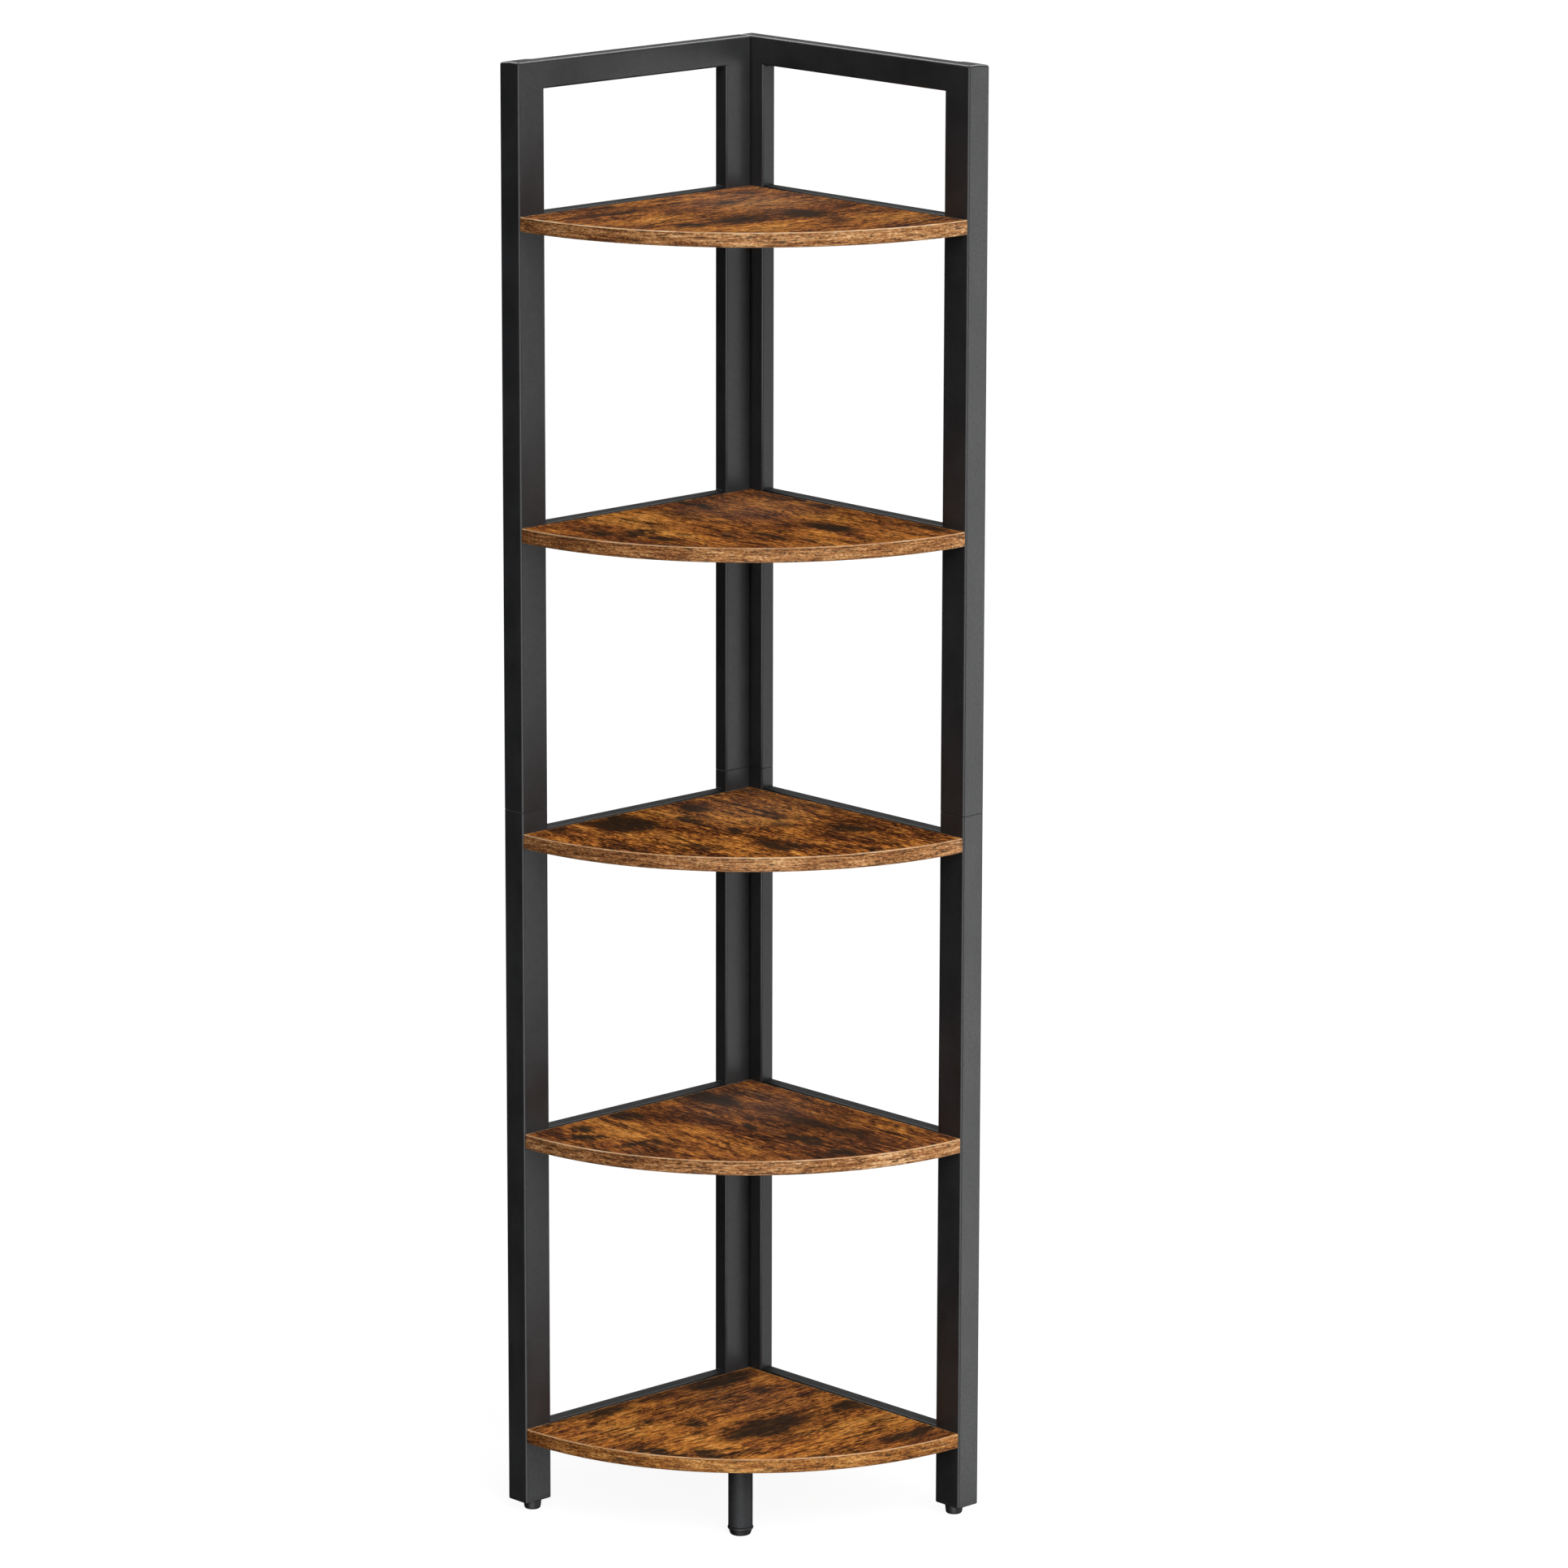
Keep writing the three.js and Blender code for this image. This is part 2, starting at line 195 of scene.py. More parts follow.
# ------------------------------------------------------------ node materials
class Nodes:
    """Short names for building one material's nodes."""

    def __init__(self, name):
        self.mat = bpy.data.materials.new(name)
        self.mat.use_nodes = True
        self.t = self.mat.node_tree
        self.t.nodes.clear()
        self.out = self.t.nodes.new("ShaderNodeOutputMaterial")
        self.bsdf = self.t.nodes.new("ShaderNodeBsdfPrincipled")
        self.t.links.new(self.bsdf.outputs[0], self.out.inputs["Surface"])

    def link(self, a, b):
        self.t.links.new(a, b)

    def put(self, socket, value):
        if isinstance(value, bpy.types.NodeSocket):
            self.link(value, socket)
        else:
            socket.default_value = value

    def coords(self):
        return self.t.nodes.new("ShaderNodeTexCoord").outputs["Object"]

    def split(self, v):
        n = self.t.nodes.new("ShaderNodeSeparateXYZ")
        self.link(v, n.inputs[0])
        return n.outputs[0], n.outputs[1], n.outputs[2]

    def vec(self, x, y, z):
        n = self.t.nodes.new("ShaderNodeCombineXYZ")
        for s, v in zip(n.inputs, (x, y, z)):
            self.put(s, v)
        return n.outputs[0]

    def vmath(self, op, a, b=None, scale=None):
        n = self.t.nodes.new("ShaderNodeVectorMath")
        n.operation = op
        self.put(n.inputs[0], a)
        if b is not None:
            self.put(n.inputs[1], b)
        if scale is not None:
            self.put(n.inputs["Scale"], scale)
        return n.outputs["Value"] if op in ("LENGTH", "DOT_PRODUCT", "DISTANCE") else n.outputs[0]

    def math(self, op, a, b=None, c=None, clamp=False):
        n = self.t.nodes.new("ShaderNodeMath")
        n.operation = op
        n.use_clamp = clamp
        self.put(n.inputs[0], a)
        if b is not None:
            self.put(n.inputs[1], b)
        if c is not None:
            self.put(n.inputs[2], c)
        return n.outputs[0]

    def noise(self, vector, scale=1.0, detail=3.0, rough=0.55, distortion=0.0, lac=2.0):
        n = self.t.nodes.new("ShaderNodeTexNoise")
        self.put(n.inputs["Vector"], vector)
        n.inputs["Scale"].default_value = scale
        n.inputs["Detail"].default_value = detail
        n.inputs["Roughness"].default_value = rough
        n.inputs["Distortion"].default_value = distortion
        n.inputs["Lacunarity"].default_value = lac
        return n.outputs["Fac"] if "Fac" in n.outputs else n.outputs[0]

    def noise_vector(self, vector, scale=1.0, detail=3.0, rough=0.55, distortion=0.0):
        self.noise(vector, scale, detail, rough, distortion)
        return self.t.nodes[-1].outputs["Color"]

    def voronoi(self, vector, scale=1.0, feature="F1", random=1.0):
        n = self.t.nodes.new("ShaderNodeTexVoronoi")
        n.feature = feature
        self.put(n.inputs["Vector"], vector)
        n.inputs["Scale"].default_value = scale
        n.inputs["Randomness"].default_value = random
        return n.outputs["Distance"]

    def step(self, value, low, high, to_low=0.0, to_high=1.0, smooth=True):
        n = self.t.nodes.new("ShaderNodeMapRange")
        n.interpolation_type = "SMOOTHSTEP" if smooth else "LINEAR"
        n.clamp = True
        self.put(n.inputs["Value"], value)
        for key, v in (("From Min", low), ("From Max", high), ("To Min", to_low), ("To Max", to_high)):
            self.put(n.inputs[key], v)
        return n.outputs[0]

    def mix(self, fac, a, b, blend="MIX"):
        n = self.t.nodes.new("ShaderNodeMix")
        n.data_type = "RGBA"
        n.blend_type = blend
        n.clamp_factor = True
        self.put(n.inputs[0], fac)
        self.put(n.inputs[6], a if isinstance(a, bpy.types.NodeSocket) else (*a, 1.0))
        self.put(n.inputs[7], b if isinstance(b, bpy.types.NodeSocket) else (*b, 1.0))
        return n.outputs[2]

    def ramp(self, fac, stops, interpolation="LINEAR"):
        n = self.t.nodes.new("ShaderNodeValToRGB")
        n.color_ramp.interpolation = interpolation
        e = n.color_ramp.elements
        while len(e) < len(stops):
            e.new(0.5)
        for el, (pos, col) in zip(e, stops):
            el.position = pos
            el.color = (*col, 1.0)
        self.link(fac, n.inputs[0])
        return n.outputs[0]

    def bump(self, height, strength, distance, normal=None):
        n = self.t.nodes.new("ShaderNodeBump")
        n.inputs["Strength"].default_value = strength
        n.inputs["Distance"].default_value = distance
        self.link(height, n.inputs["Height"])
        if normal is not None:
            self.link(normal, n.inputs["Normal"])
        return n.outputs[0]

    def surface(self, color=None, rough=None, normal=None, metallic=0.0, specular=0.5, **more):
        b = self.bsdf.inputs
        if color is not None:
            self.put(b["Base Color"], color if isinstance(color, bpy.types.NodeSocket) else (*color, 1.0))
        if rough is not None:
            self.put(b["Roughness"], rough)
        if normal is not None:
            self.link(normal, b["Normal"])
        b["Metallic"].default_value = metallic
        b["Specular IOR Level"].default_value = specular
        for key, v in more.items():
            b[key.replace("_", " ")].default_value = v
        return self.mat


def powder_coat(name="powder_coat_black", duller=0.0, specular=0.5, depth=1.0):
    """Satin black powder coat: fine orange peel, faint cloudiness and a few specks. depth scales the colour down, for
    a darker painted-shade copy of the same coat.
    """
    n = Nodes(name)

    def black(r, g, b):
        return r * depth, g * depth, b * depth

    p = n.coords()
    cloud = n.noise(p, 22.0, 4.0, 0.6)
    fine = n.noise(p, 420.0, 3.0, 0.6)
    peel = n.noise(p, 1150.0, 2.0, 0.5)
    speck = n.step(n.voronoi(p, 260.0), 0.10, 0.045)
    x, y, z = n.split(p)
    drag = n.noise(n.vec(n.math("MULTIPLY", x, 60.0), n.math("MULTIPLY", y, 60.0), n.math("MULTIPLY", z, 9.0)), 1.0, 3.0, 0.6)
    base = n.mix(n.step(cloud, 0.3, 0.72), black(0.0155, 0.0160, 0.0172), black(0.0245, 0.0252, 0.0268))
    base = n.mix(n.step(drag, 0.45, 0.75, 0.0, 0.5), base, black(0.0285, 0.0290, 0.0305))
    base = n.mix(n.step(fine, 0.35, 0.70, 0.0, 0.35), base, black(0.0110, 0.0114, 0.0122))
    base = n.mix(n.math("MULTIPLY", speck, 0.35), base, black(0.055, 0.056, 0.060))
    rough = n.math("ADD", n.step(cloud, 0.25, 0.75, 0.32 + duller, 0.39 + duller), n.step(fine, 0.3, 0.7, -0.03, 0.04))
    height = n.math("ADD", n.math("MULTIPLY", peel, 0.7), n.math("MULTIPLY", fine, 0.5))
    return n.surface(base, rough, n.bump(height, 0.22, 0.00012), specular=specular)


def plastic(name, dark, light, rough, grain=900.0, strength=0.25):
    """Moulded plastic with a fine spark-eroded grain."""
    n = Nodes(name)
    p = n.coords()
    cloud = n.noise(p, 60.0, 3.0, 0.55)
    fine = n.noise(p, grain, 3.0, 0.6)
    pits = n.voronoi(p, grain * 1.6)
    base = n.mix(n.step(cloud, 0.3, 0.7), dark, light)
    base = n.mix(n.step(fine, 0.4, 0.75, 0.0, 0.3), base, tuple(c * 0.6 for c in dark))
    r = n.math("ADD", n.step(cloud, 0.3, 0.7, rough - 0.04, rough + 0.04), n.step(fine, 0.3, 0.7, -0.04, 0.04))
    height = n.math("ADD", n.math("MULTIPLY", fine, 0.8), n.math("MULTIPLY", pits, 0.4))
    return n.surface(base, r, n.bump(height, strength, 0.00010))


def metal(name, dark, light, rough, streak=(900.0, 900.0, 90.0)):
    """Machined metal with fine turning marks and slight staining."""
    n = Nodes(name)
    p = n.coords()
    x, y, z = n.split(p)
    marks = n.noise(n.vec(n.math("MULTIPLY", x, streak[0]), n.math("MULTIPLY", y, streak[1]), n.math("MULTIPLY", z, streak[2])), 1.0, 3.0, 0.6)
    cloud = n.noise(p, 180.0, 4.0, 0.6)
    base = n.mix(n.step(cloud, 0.3, 0.7), dark, light)
    base = n.mix(n.step(marks, 0.45, 0.8, 0.0, 0.3), base, tuple(c * 0.7 for c in dark))
    r = n.math("ADD", n.step(cloud, 0.3, 0.7, rough - 0.05, rough + 0.07), n.step(marks, 0.3, 0.7, -0.04, 0.05))
    return n.surface(base, r, n.bump(marks, 0.15, 0.00006), metallic=1.0)


def wood_tone(n, s, t, w, seed, dark_spots=(), light_spots=(), cast=0.0, crisp=1.0, wild=1.0):
    """Colour, roughness and height of the rustic wood print.

    s runs along the grain and t across it, in metres; w keeps the two faces of a board apart.
    crisp is how much fine crackle the print of this board carries, and wild how mottled it is.
    """
    o = seed * 7.31

    def layer(fs, ft, detail, rough, shift, distortion=0.0, colour=False):
        at = n.vec(n.math("MULTIPLY_ADD", s2, fs, o + shift), n.math("MULTIPLY_ADD", t2, ft, shift * 1.7), w)
        return (n.noise_vector if colour else n.noise)(at, 1.0, detail, rough, distortion)

    def gain(value, by):
        return n.math("MULTIPLY", n.math("SUBTRACT", value, 0.5), by)

    # the grain wanders sideways, a little
    s2, t2 = s, t
    wander = layer(9.0, 14.0, 2.0, 0.5, 3.0, 0.0, True)
    wx, wy, _ = n.split(wander)
    small = layer(60.0, 80.0, 2.0, 0.5, 8.0)
    s2 = n.math("ADD", s, gain(wx, 0.014))
    t2 = n.math("ADD", t, n.math("ADD", gain(wy, 0.013), gain(small, 0.0016)))

    broad = layer(11.0, 20.0, 4.0, 0.55, 1.0, 0.3)
    middle = layer(20.0, 64.0, 5.0, 0.64, 5.0, 0.3)
    streak = layer(20.0, 290.0, 3.0, 0.60, 9.0, 0.1)
    fibre = layer(110.0, 900.0, 2.0, 0.60, 13.0)
    fleck = layer(84.0, 300.0, 3.0, 0.62, 17.0, 0.2)
    long_line = layer(15.0, 260.0, 3.0, 0.62, 75.0, 0.4)
    ragged = layer(42.0, 120.0, 6.0, 0.75, 21.0, 0.8)
    dash_a = layer(42.0, 400.0, 3.0, 0.60, 27.0, 0.6)
    dash_b = layer(80.0, 760.0, 3.0, 0.60, 33.0, 0.4)
    dash_c = layer(42.0, 235.0, 2.0, 0.55, 93.0, 0.2)
    grit = layer(230.0, 370.0, 2.0, 0.60, 101.0)
    crackle = layer(85.0, 360.0, 2.0, 0.60, 107.0, 0.3)
    gate = layer(17.0, 40.0, 4.0, 0.62, 39.0, 0.4)
    crack = layer(14.0, 120.0, 4.0, 0.60, 45.0, 1.0)
    worn = layer(24.0, 60.0, 5.0, 0.70, 57.0, 0.8)
    shade = layer(26.0, 52.0, 7.0, 0.74, 87.0, 0.4)

    tone = n.math("ADD", gain(broad, 1.05 * wild), gain(middle, 0.80 * wild))
    for value, by in ((streak, 0.65), (fibre, 0.16), (fleck, 1.10), (grit, 0.42 + 0.42 * crisp)):
        tone = n.math("ADD", tone, gain(value, by))
    tone = n.math("ADD", tone, cast)

    # blotches: ellipses pulled out of shape, and combed along the grain by the fibres
    pull_a = n.split(layer(20.0, 24.0, 3.0, 0.6, 61.0, 0.0, True))
    pull_b = n.split(layer(75.0, 110.0, 3.0, 0.65, 67.0, 0.0, True))
    comb = layer(60.0, 520.0, 2.0, 0.6, 71.0)
    sp = n.math("ADD", s, n.math("ADD", gain(pull_a[0], 0.050), n.math("ADD", gain(pull_b[0], 0.022), gain(comb, 0.034))))
    tp = n.math("ADD", t, n.math("ADD", gain(pull_a[1], 0.032), gain(pull_b[1], 0.014)))
    here = n.vec(sp, tp, 0.0)

    def spots(items):
        total = None
        for c, d, rc, rd, k in items:
            q = n.vmath("MULTIPLY", n.vmath("SUBTRACT", here, (c * MM, d * MM, 0.0)), (1.0 / (rc * MM), 1.0 / (rd * MM), 0.0))
            m = n.step(n.vmath("LENGTH", q), 1.75, 0.10, 0.0, k, smooth=False)
            total = m if total is None else n.math("MAXIMUM", total, m)
        return total

    if light_spots:
        tone = n.math("ADD", tone, n.math("MULTIPLY", spots(light_spots), 0.30))
    colour = n.ramp(n.math("ADD", tone, 0.5), [
        (0.06, (0.0175, 0.0054, 0.0027)),
        (0.22, (0.0450, 0.0120, 0.0045)),
        (0.36, (0.1050, 0.0290, 0.0086)),
        (0.49, (0.2010, 0.0600, 0.0148)),
        (0.61, (0.3280, 0.1040, 0.0200)),
        (0.74, (0.4750, 0.1640, 0.0270)),
        (0.88, (0.6100, 0.2300, 0.0370)),
        (0.98, (0.7000, 0.3050, 0.0700)),
    ])
    # redder and greyer drifts
    colour = n.mix(n.step(gate, 0.52, 0.70, 0.0, 0.42), colour, (0.118, 0.040, 0.0165))
    colour = n.mix(n.step(worn, 0.56, 0.72, 0.0, 0.30), colour, (0.105, 0.060, 0.035))
    # ragged dark shading between the light patches
    shaded = n.step(n.math("ADD", shade, n.math("ADD", gain(gate, 0.45), gain(streak, 0.30))), 0.560, 0.620, 0.0, 0.70 * wild)
    colour = n.mix(shaded, colour, (0.0440, 0.0150, 0.0052))
    # dark dashes in drifts, and a few long cracks
    drift = n.step(n.math("ADD", gain(gate, 1.0), gain(middle, -0.9)), -0.16, 0.10, 0.40, 1.0)
    dashes = n.math("MAXIMUM", n.step(dash_a, 0.425, 0.375), n.math("MULTIPLY", n.step(dash_b, 0.40, 0.34), 0.85))
    dashes = n.math("MAXIMUM", dashes, n.step(dash_c, 0.410, 0.375))
    dashes = n.math("MAXIMUM", dashes, n.step(n.math("ADD", long_line, gain(fleck, 0.20)), 0.425, 0.380))
    dashes = n.math("MAXIMUM", dashes, n.step(crackle, 0.395 + 0.025 * crisp, 0.365 + 0.020 * crisp, 0.0, min(1.0, 0.70 + 0.20 * crisp)))
    dashes = n.math("MULTIPLY", dashes, drift)
    colour = n.mix(n.math("MULTIPLY", dashes, 0.92), colour, (0.0160, 0.0054, 0.0018))
    edge = n.math("ABSOLUTE", n.math("SUBTRACT", crack, 0.5))
    cracks = n.math("MULTIPLY", n.step(edge, 0.0210, 0.0060), n.step(ragged, 0.45, 0.55))
    colour = n.mix(n.math("MULTIPLY", cracks, 0.9), colour, (0.0130, 0.0060, 0.0030))
    # light scratches along the grain
    scratch = n.math("MULTIPLY", n.step(dash_a, 0.605, 0.66), n.step(worn, 0.44, 0.60))
    colour = n.mix(n.math("MULTIPLY", scratch, 0.42), colour, (0.52, 0.275, 0.105))
    # charcoal
    rag = n.math("ADD", gain(ragged, 1.30), n.math("ADD", gain(streak, 0.75), gain(fleck, 0.55)))
    loose = n.step(n.math("ADD", gain(layer(18.0, 46.0, 5.0, 0.68, 51.0, 0.7), 1.0), n.math("MULTIPLY", rag, 0.13)), 0.115, 0.20, 0.0, 0.85 * min(wild, 1.0) ** 2)
    if dark_spots:
        body = n.math("ADD", spots(dark_spots), n.math("MULTIPLY", rag, 0.44))
        core = n.step(body, 0.34, 0.54)
        halo = n.step(body, 0.12, 0.46)
        loose = n.math("MULTIPLY", loose, 0.8)
        core = n.math("MAXIMUM", core, loose)
        halo = n.math("MAXIMUM", halo, loose)
    else:
        core, halo = loose, loose
    inside = n.step(n.math("ADD", gain(fleck, 0.8), gain(streak, 1.0)), 0.03, 0.20, 1.0, 0.66)
    colour = n.mix(n.math("MULTIPLY", halo, 0.58), colour, (0.0500, 0.0185, 0.0062))
    colour = n.mix(n.math("MULTIPLY", n.math("MULTIPLY", core, inside), 0.94), colour,
                   n.mix(n.step(fibre, 0.40, 0.60), (0.0150, 0.0084, 0.0045), (0.0320, 0.0170, 0.0080)))
    marks = n.math("MAXIMUM", dashes, cracks)
    rough = n.math("ADD", n.step(tone, -0.35, 0.35, 0.40, 0.33), n.math("MULTIPLY", marks, 0.12))
    rough = n.math("ADD", rough, n.math("MULTIPLY", core, 0.05))
    height = n.math("SUBTRACT", n.math("ADD", gain(streak, 0.5), gain(fibre, 0.4)), n.math("MULTIPLY", marks, 0.55))
    return colour, rough, height


def wood_face(name, seed, along, dark_spots, light_spots, cast=0.0, crisp=1.0, wild=1.0, painted_sheen=(0.0, 0.0)):
    """Laminate on the faces of a board. along is the axis that the grain follows; spots are given as u, v.

    The last argument is a painted sheen, a pale grey reflection mixed into the print colour: its strength on the whole
    board, and added to that near the corner.
    """
    n = Nodes(name)
    x, y, z = n.split(n.coords())
    u = n.math("SUBTRACT", x, CORNER_X * MM)
    v = n.math("SUBTRACT", CORNER_Y * MM, y)
    w = n.math("MULTIPLY", z, 170.0)
    if along == "u":
        s, t = u, v
    else:
        s, t = v, u
        dark_spots = [(b, a, rb, ra, k) for a, b, ra, rb, k in dark_spots]
        light_spots = [(b, a, rb, ra, k) for a, b, ra, rb, k in light_spots]
    colour, rough, height = wood_tone(n, s, t, w, seed, dark_spots, light_spots, cast, crisp, wild)
    # painted reflection: the print is mixed towards pale grey over the whole board, and more near the inside corner,
    # standing in for the sheen of the overlay
    from_middle = n.vmath("LENGTH", n.vmath("SUBTRACT", n.vec(u, v, 0.0), (0.062, 0.062, 0.0)))
    colour = n.mix(n.step(from_middle, 0.100, 0.010, painted_sheen[0], painted_sheen[0] + painted_sheen[1]), colour, (0.620, 0.580, 0.560))
    return n.surface(colour, rough, n.bump(height, 0.30, 0.00016), specular=0.0)


def wood_band(name, seed, z_mid, tint=0.0, straight=None, warm=0.0, worn=0.95):
    """Printed edge band: fine streaks along it, and its plain tan body where the edge is rounded off, partly a painted
    highlight that is lighter on the upper arris.

    warm takes the print towards orange, and worn is how much of the arris shows the plain tan, which partly stands in
    for a highlight.
    """
    n = Nodes(name)
    x, y, z = n.split(n.coords())
    u = n.math("SUBTRACT", x, CORNER_X * MM)
    v = n.math("SUBTRACT", CORNER_Y * MM, y)
    if straight:
        s = u if straight == "u" else v
    else:
        s = n.math("MULTIPLY", n.math("ARCTAN2", v, u), SIDE * MM)
    h = n.math("SUBTRACT", z, z_mid * MM)
    o = seed * 5.17

    def layer(fs, fz, detail, rough, shift, distortion=0.0):
        return n.noise(n.vec(n.math("MULTIPLY_ADD", s, fs, o + shift), n.math("MULTIPLY_ADD", h, fz, shift), seed * 1.3), 1.0, detail, rough, distortion)

    def gain(value, by):
        return n.math("MULTIPLY", n.math("SUBTRACT", value, 0.5), by)

    broad = layer(16.0, 70.0, 3.0, 0.55, 2.0, 0.3)
    streak = layer(38.0, 520.0, 4.0, 0.68, 7.0, 0.4)
    fine = layer(240.0, 1100.0, 3.0, 0.62, 11.0, 0.3)
    grit = layer(420.0, 700.0, 2.0, 0.6, 23.0)
    pores = layer(90.0, 720.0, 3.0, 0.62, 15.0, 0.5)
    knots = layer(55.0, 210.0, 5.0, 0.70, 19.0, 0.9)
    tone = gain(broad, 0.85)
    for value, by in ((streak, 1.35), (fine, 1.10), (grit, 0.95)):
        tone = n.math("ADD", tone, gain(value, by))
    # painted shade and light: the band is darker towards its left end, which faces away from the light, and a little
    # lighter along its right half, which faces it
    side = 0.0 if straight else n.step(s, 0.23, 0.46, 0.045, -0.15)
    tone = n.math("ADD", n.math("ADD", tone, side), tint + 0.035)
    colour = n.ramp(n.math("ADD", tone, 0.5), [(at, (r, g * (1.0 - 0.13 * warm), b * (1.0 - 0.50 * warm))) for at, (r, g, b) in (
        (0.08, (0.0520, 0.0170, 0.0060)),
        (0.26, (0.1320, 0.0460, 0.0140)),
        (0.42, (0.2350, 0.0930, 0.0290)),
        (0.55, (0.3300, 0.1450, 0.0520)),
        (0.70, (0.4400, 0.2200, 0.0890)),
        (0.88, (0.5950, 0.3500, 0.1700)),
        (0.97, (0.7200, 0.4800, 0.2750)),
    )])
    dark = n.step(pores, 0.44, 0.39)
    colour = n.mix(n.math("MULTIPLY", dark, 0.86), colour, (0.0400, 0.0170, 0.0080))
    colour = n.mix(n.step(n.math("ADD", knots, gain(fine, 0.25)), 0.575, 0.66, 0.0, 0.80), colour, (0.0340, 0.0170, 0.0100))
    # plain tan arris: partly the band's own body where the edge is rounded off, partly a painted highlight; the upper
    # arris is painted fully light and the lower one only about a third as much, as light falls from above
    off = n.math("ABSOLUTE", h)
    bare_from = BOARD / 2 - (ARRIS if not straight else 0.45)
    bare_and_highlight = n.step(n.math("ADD", off, gain(fine, 0.0005)), (bare_from + 0.10) * MM, (bare_from + 0.36) * MM)
    upper = n.step(h, -0.001, 0.001, 0.35, 1.0)
    light = n.mix(n.step(streak, 0.36, 0.60), (0.700, 0.490, 0.290), (0.420, 0.230, 0.105))
    colour = n.mix(n.math("MULTIPLY", n.math("MULTIPLY", bare_and_highlight, upper), n.step(broad, 0.36, 0.52, worn * 0.66, worn)), colour, light)
    # thin scored line just inside the arris
    score = n.math("MULTIPLY", n.step(n.math("ABSOLUTE", n.math("SUBTRACT", off, (bare_from - 0.42) * MM)), 0.00045, 0.00012), n.step(knots, 0.40, 0.54))
    colour = n.mix(n.math("MULTIPLY", score, 0.62), colour, (0.0420, 0.0185, 0.0090))
    rough = n.math("ADD", n.step(tone, -0.4, 0.4, 0.50, 0.40), n.math("MULTIPLY", bare_and_highlight, -0.06))
    height = n.math("SUBTRACT", n.math("ADD", gain(streak, 0.5), gain(fine, 0.4)), n.math("MULTIPLY", dark, 0.5))
    return n.surface(colour, rough, n.bump(height, 0.30, 0.00014), specular=0.15)


STEEL = powder_coat()
LEG_STEEL = powder_coat("powder_coat_black_leg", 0.22, 0.34)
# darker copy of the powder coat for the crossbars: painted shade, its colour scaled to 0.42 so that the same coat
# looks darker on the lower bars than on the top rails; it is also a little rougher with lower specular
SHADED_BAR_STEEL = powder_coat("powder_coat_black_bar_shaded", 0.04, 0.12, 0.42)
PLUG_PLASTIC = plastic("plug_plastic_black", (0.0150, 0.0154, 0.0164), (0.0235, 0.0240, 0.0252), 0.39, 1000.0, 0.2)
FOOT_PLASTIC = plastic("foot_plastic_black", (0.012, 0.012, 0.012), (0.022, 0.022, 0.0225), 0.44, 700.0, 0.3)
SLEEVE_PLASTIC = plastic("sleeve_plastic_black", (0.014, 0.014, 0.014), (0.024, 0.024, 0.024), 0.55)
CAP_PLASTIC = plastic("cap_plastic_black", (0.008, 0.008, 0.0085), (0.016, 0.016, 0.0165), 0.42, 800.0, 0.25)
SCREW_STEEL = metal("black_oxide_steel", (0.045, 0.045, 0.048), (0.085, 0.085, 0.090), 0.34)
ZINC = metal("zinc_plated_steel", (0.52, 0.53, 0.55), (0.66, 0.67, 0.69), 0.30)
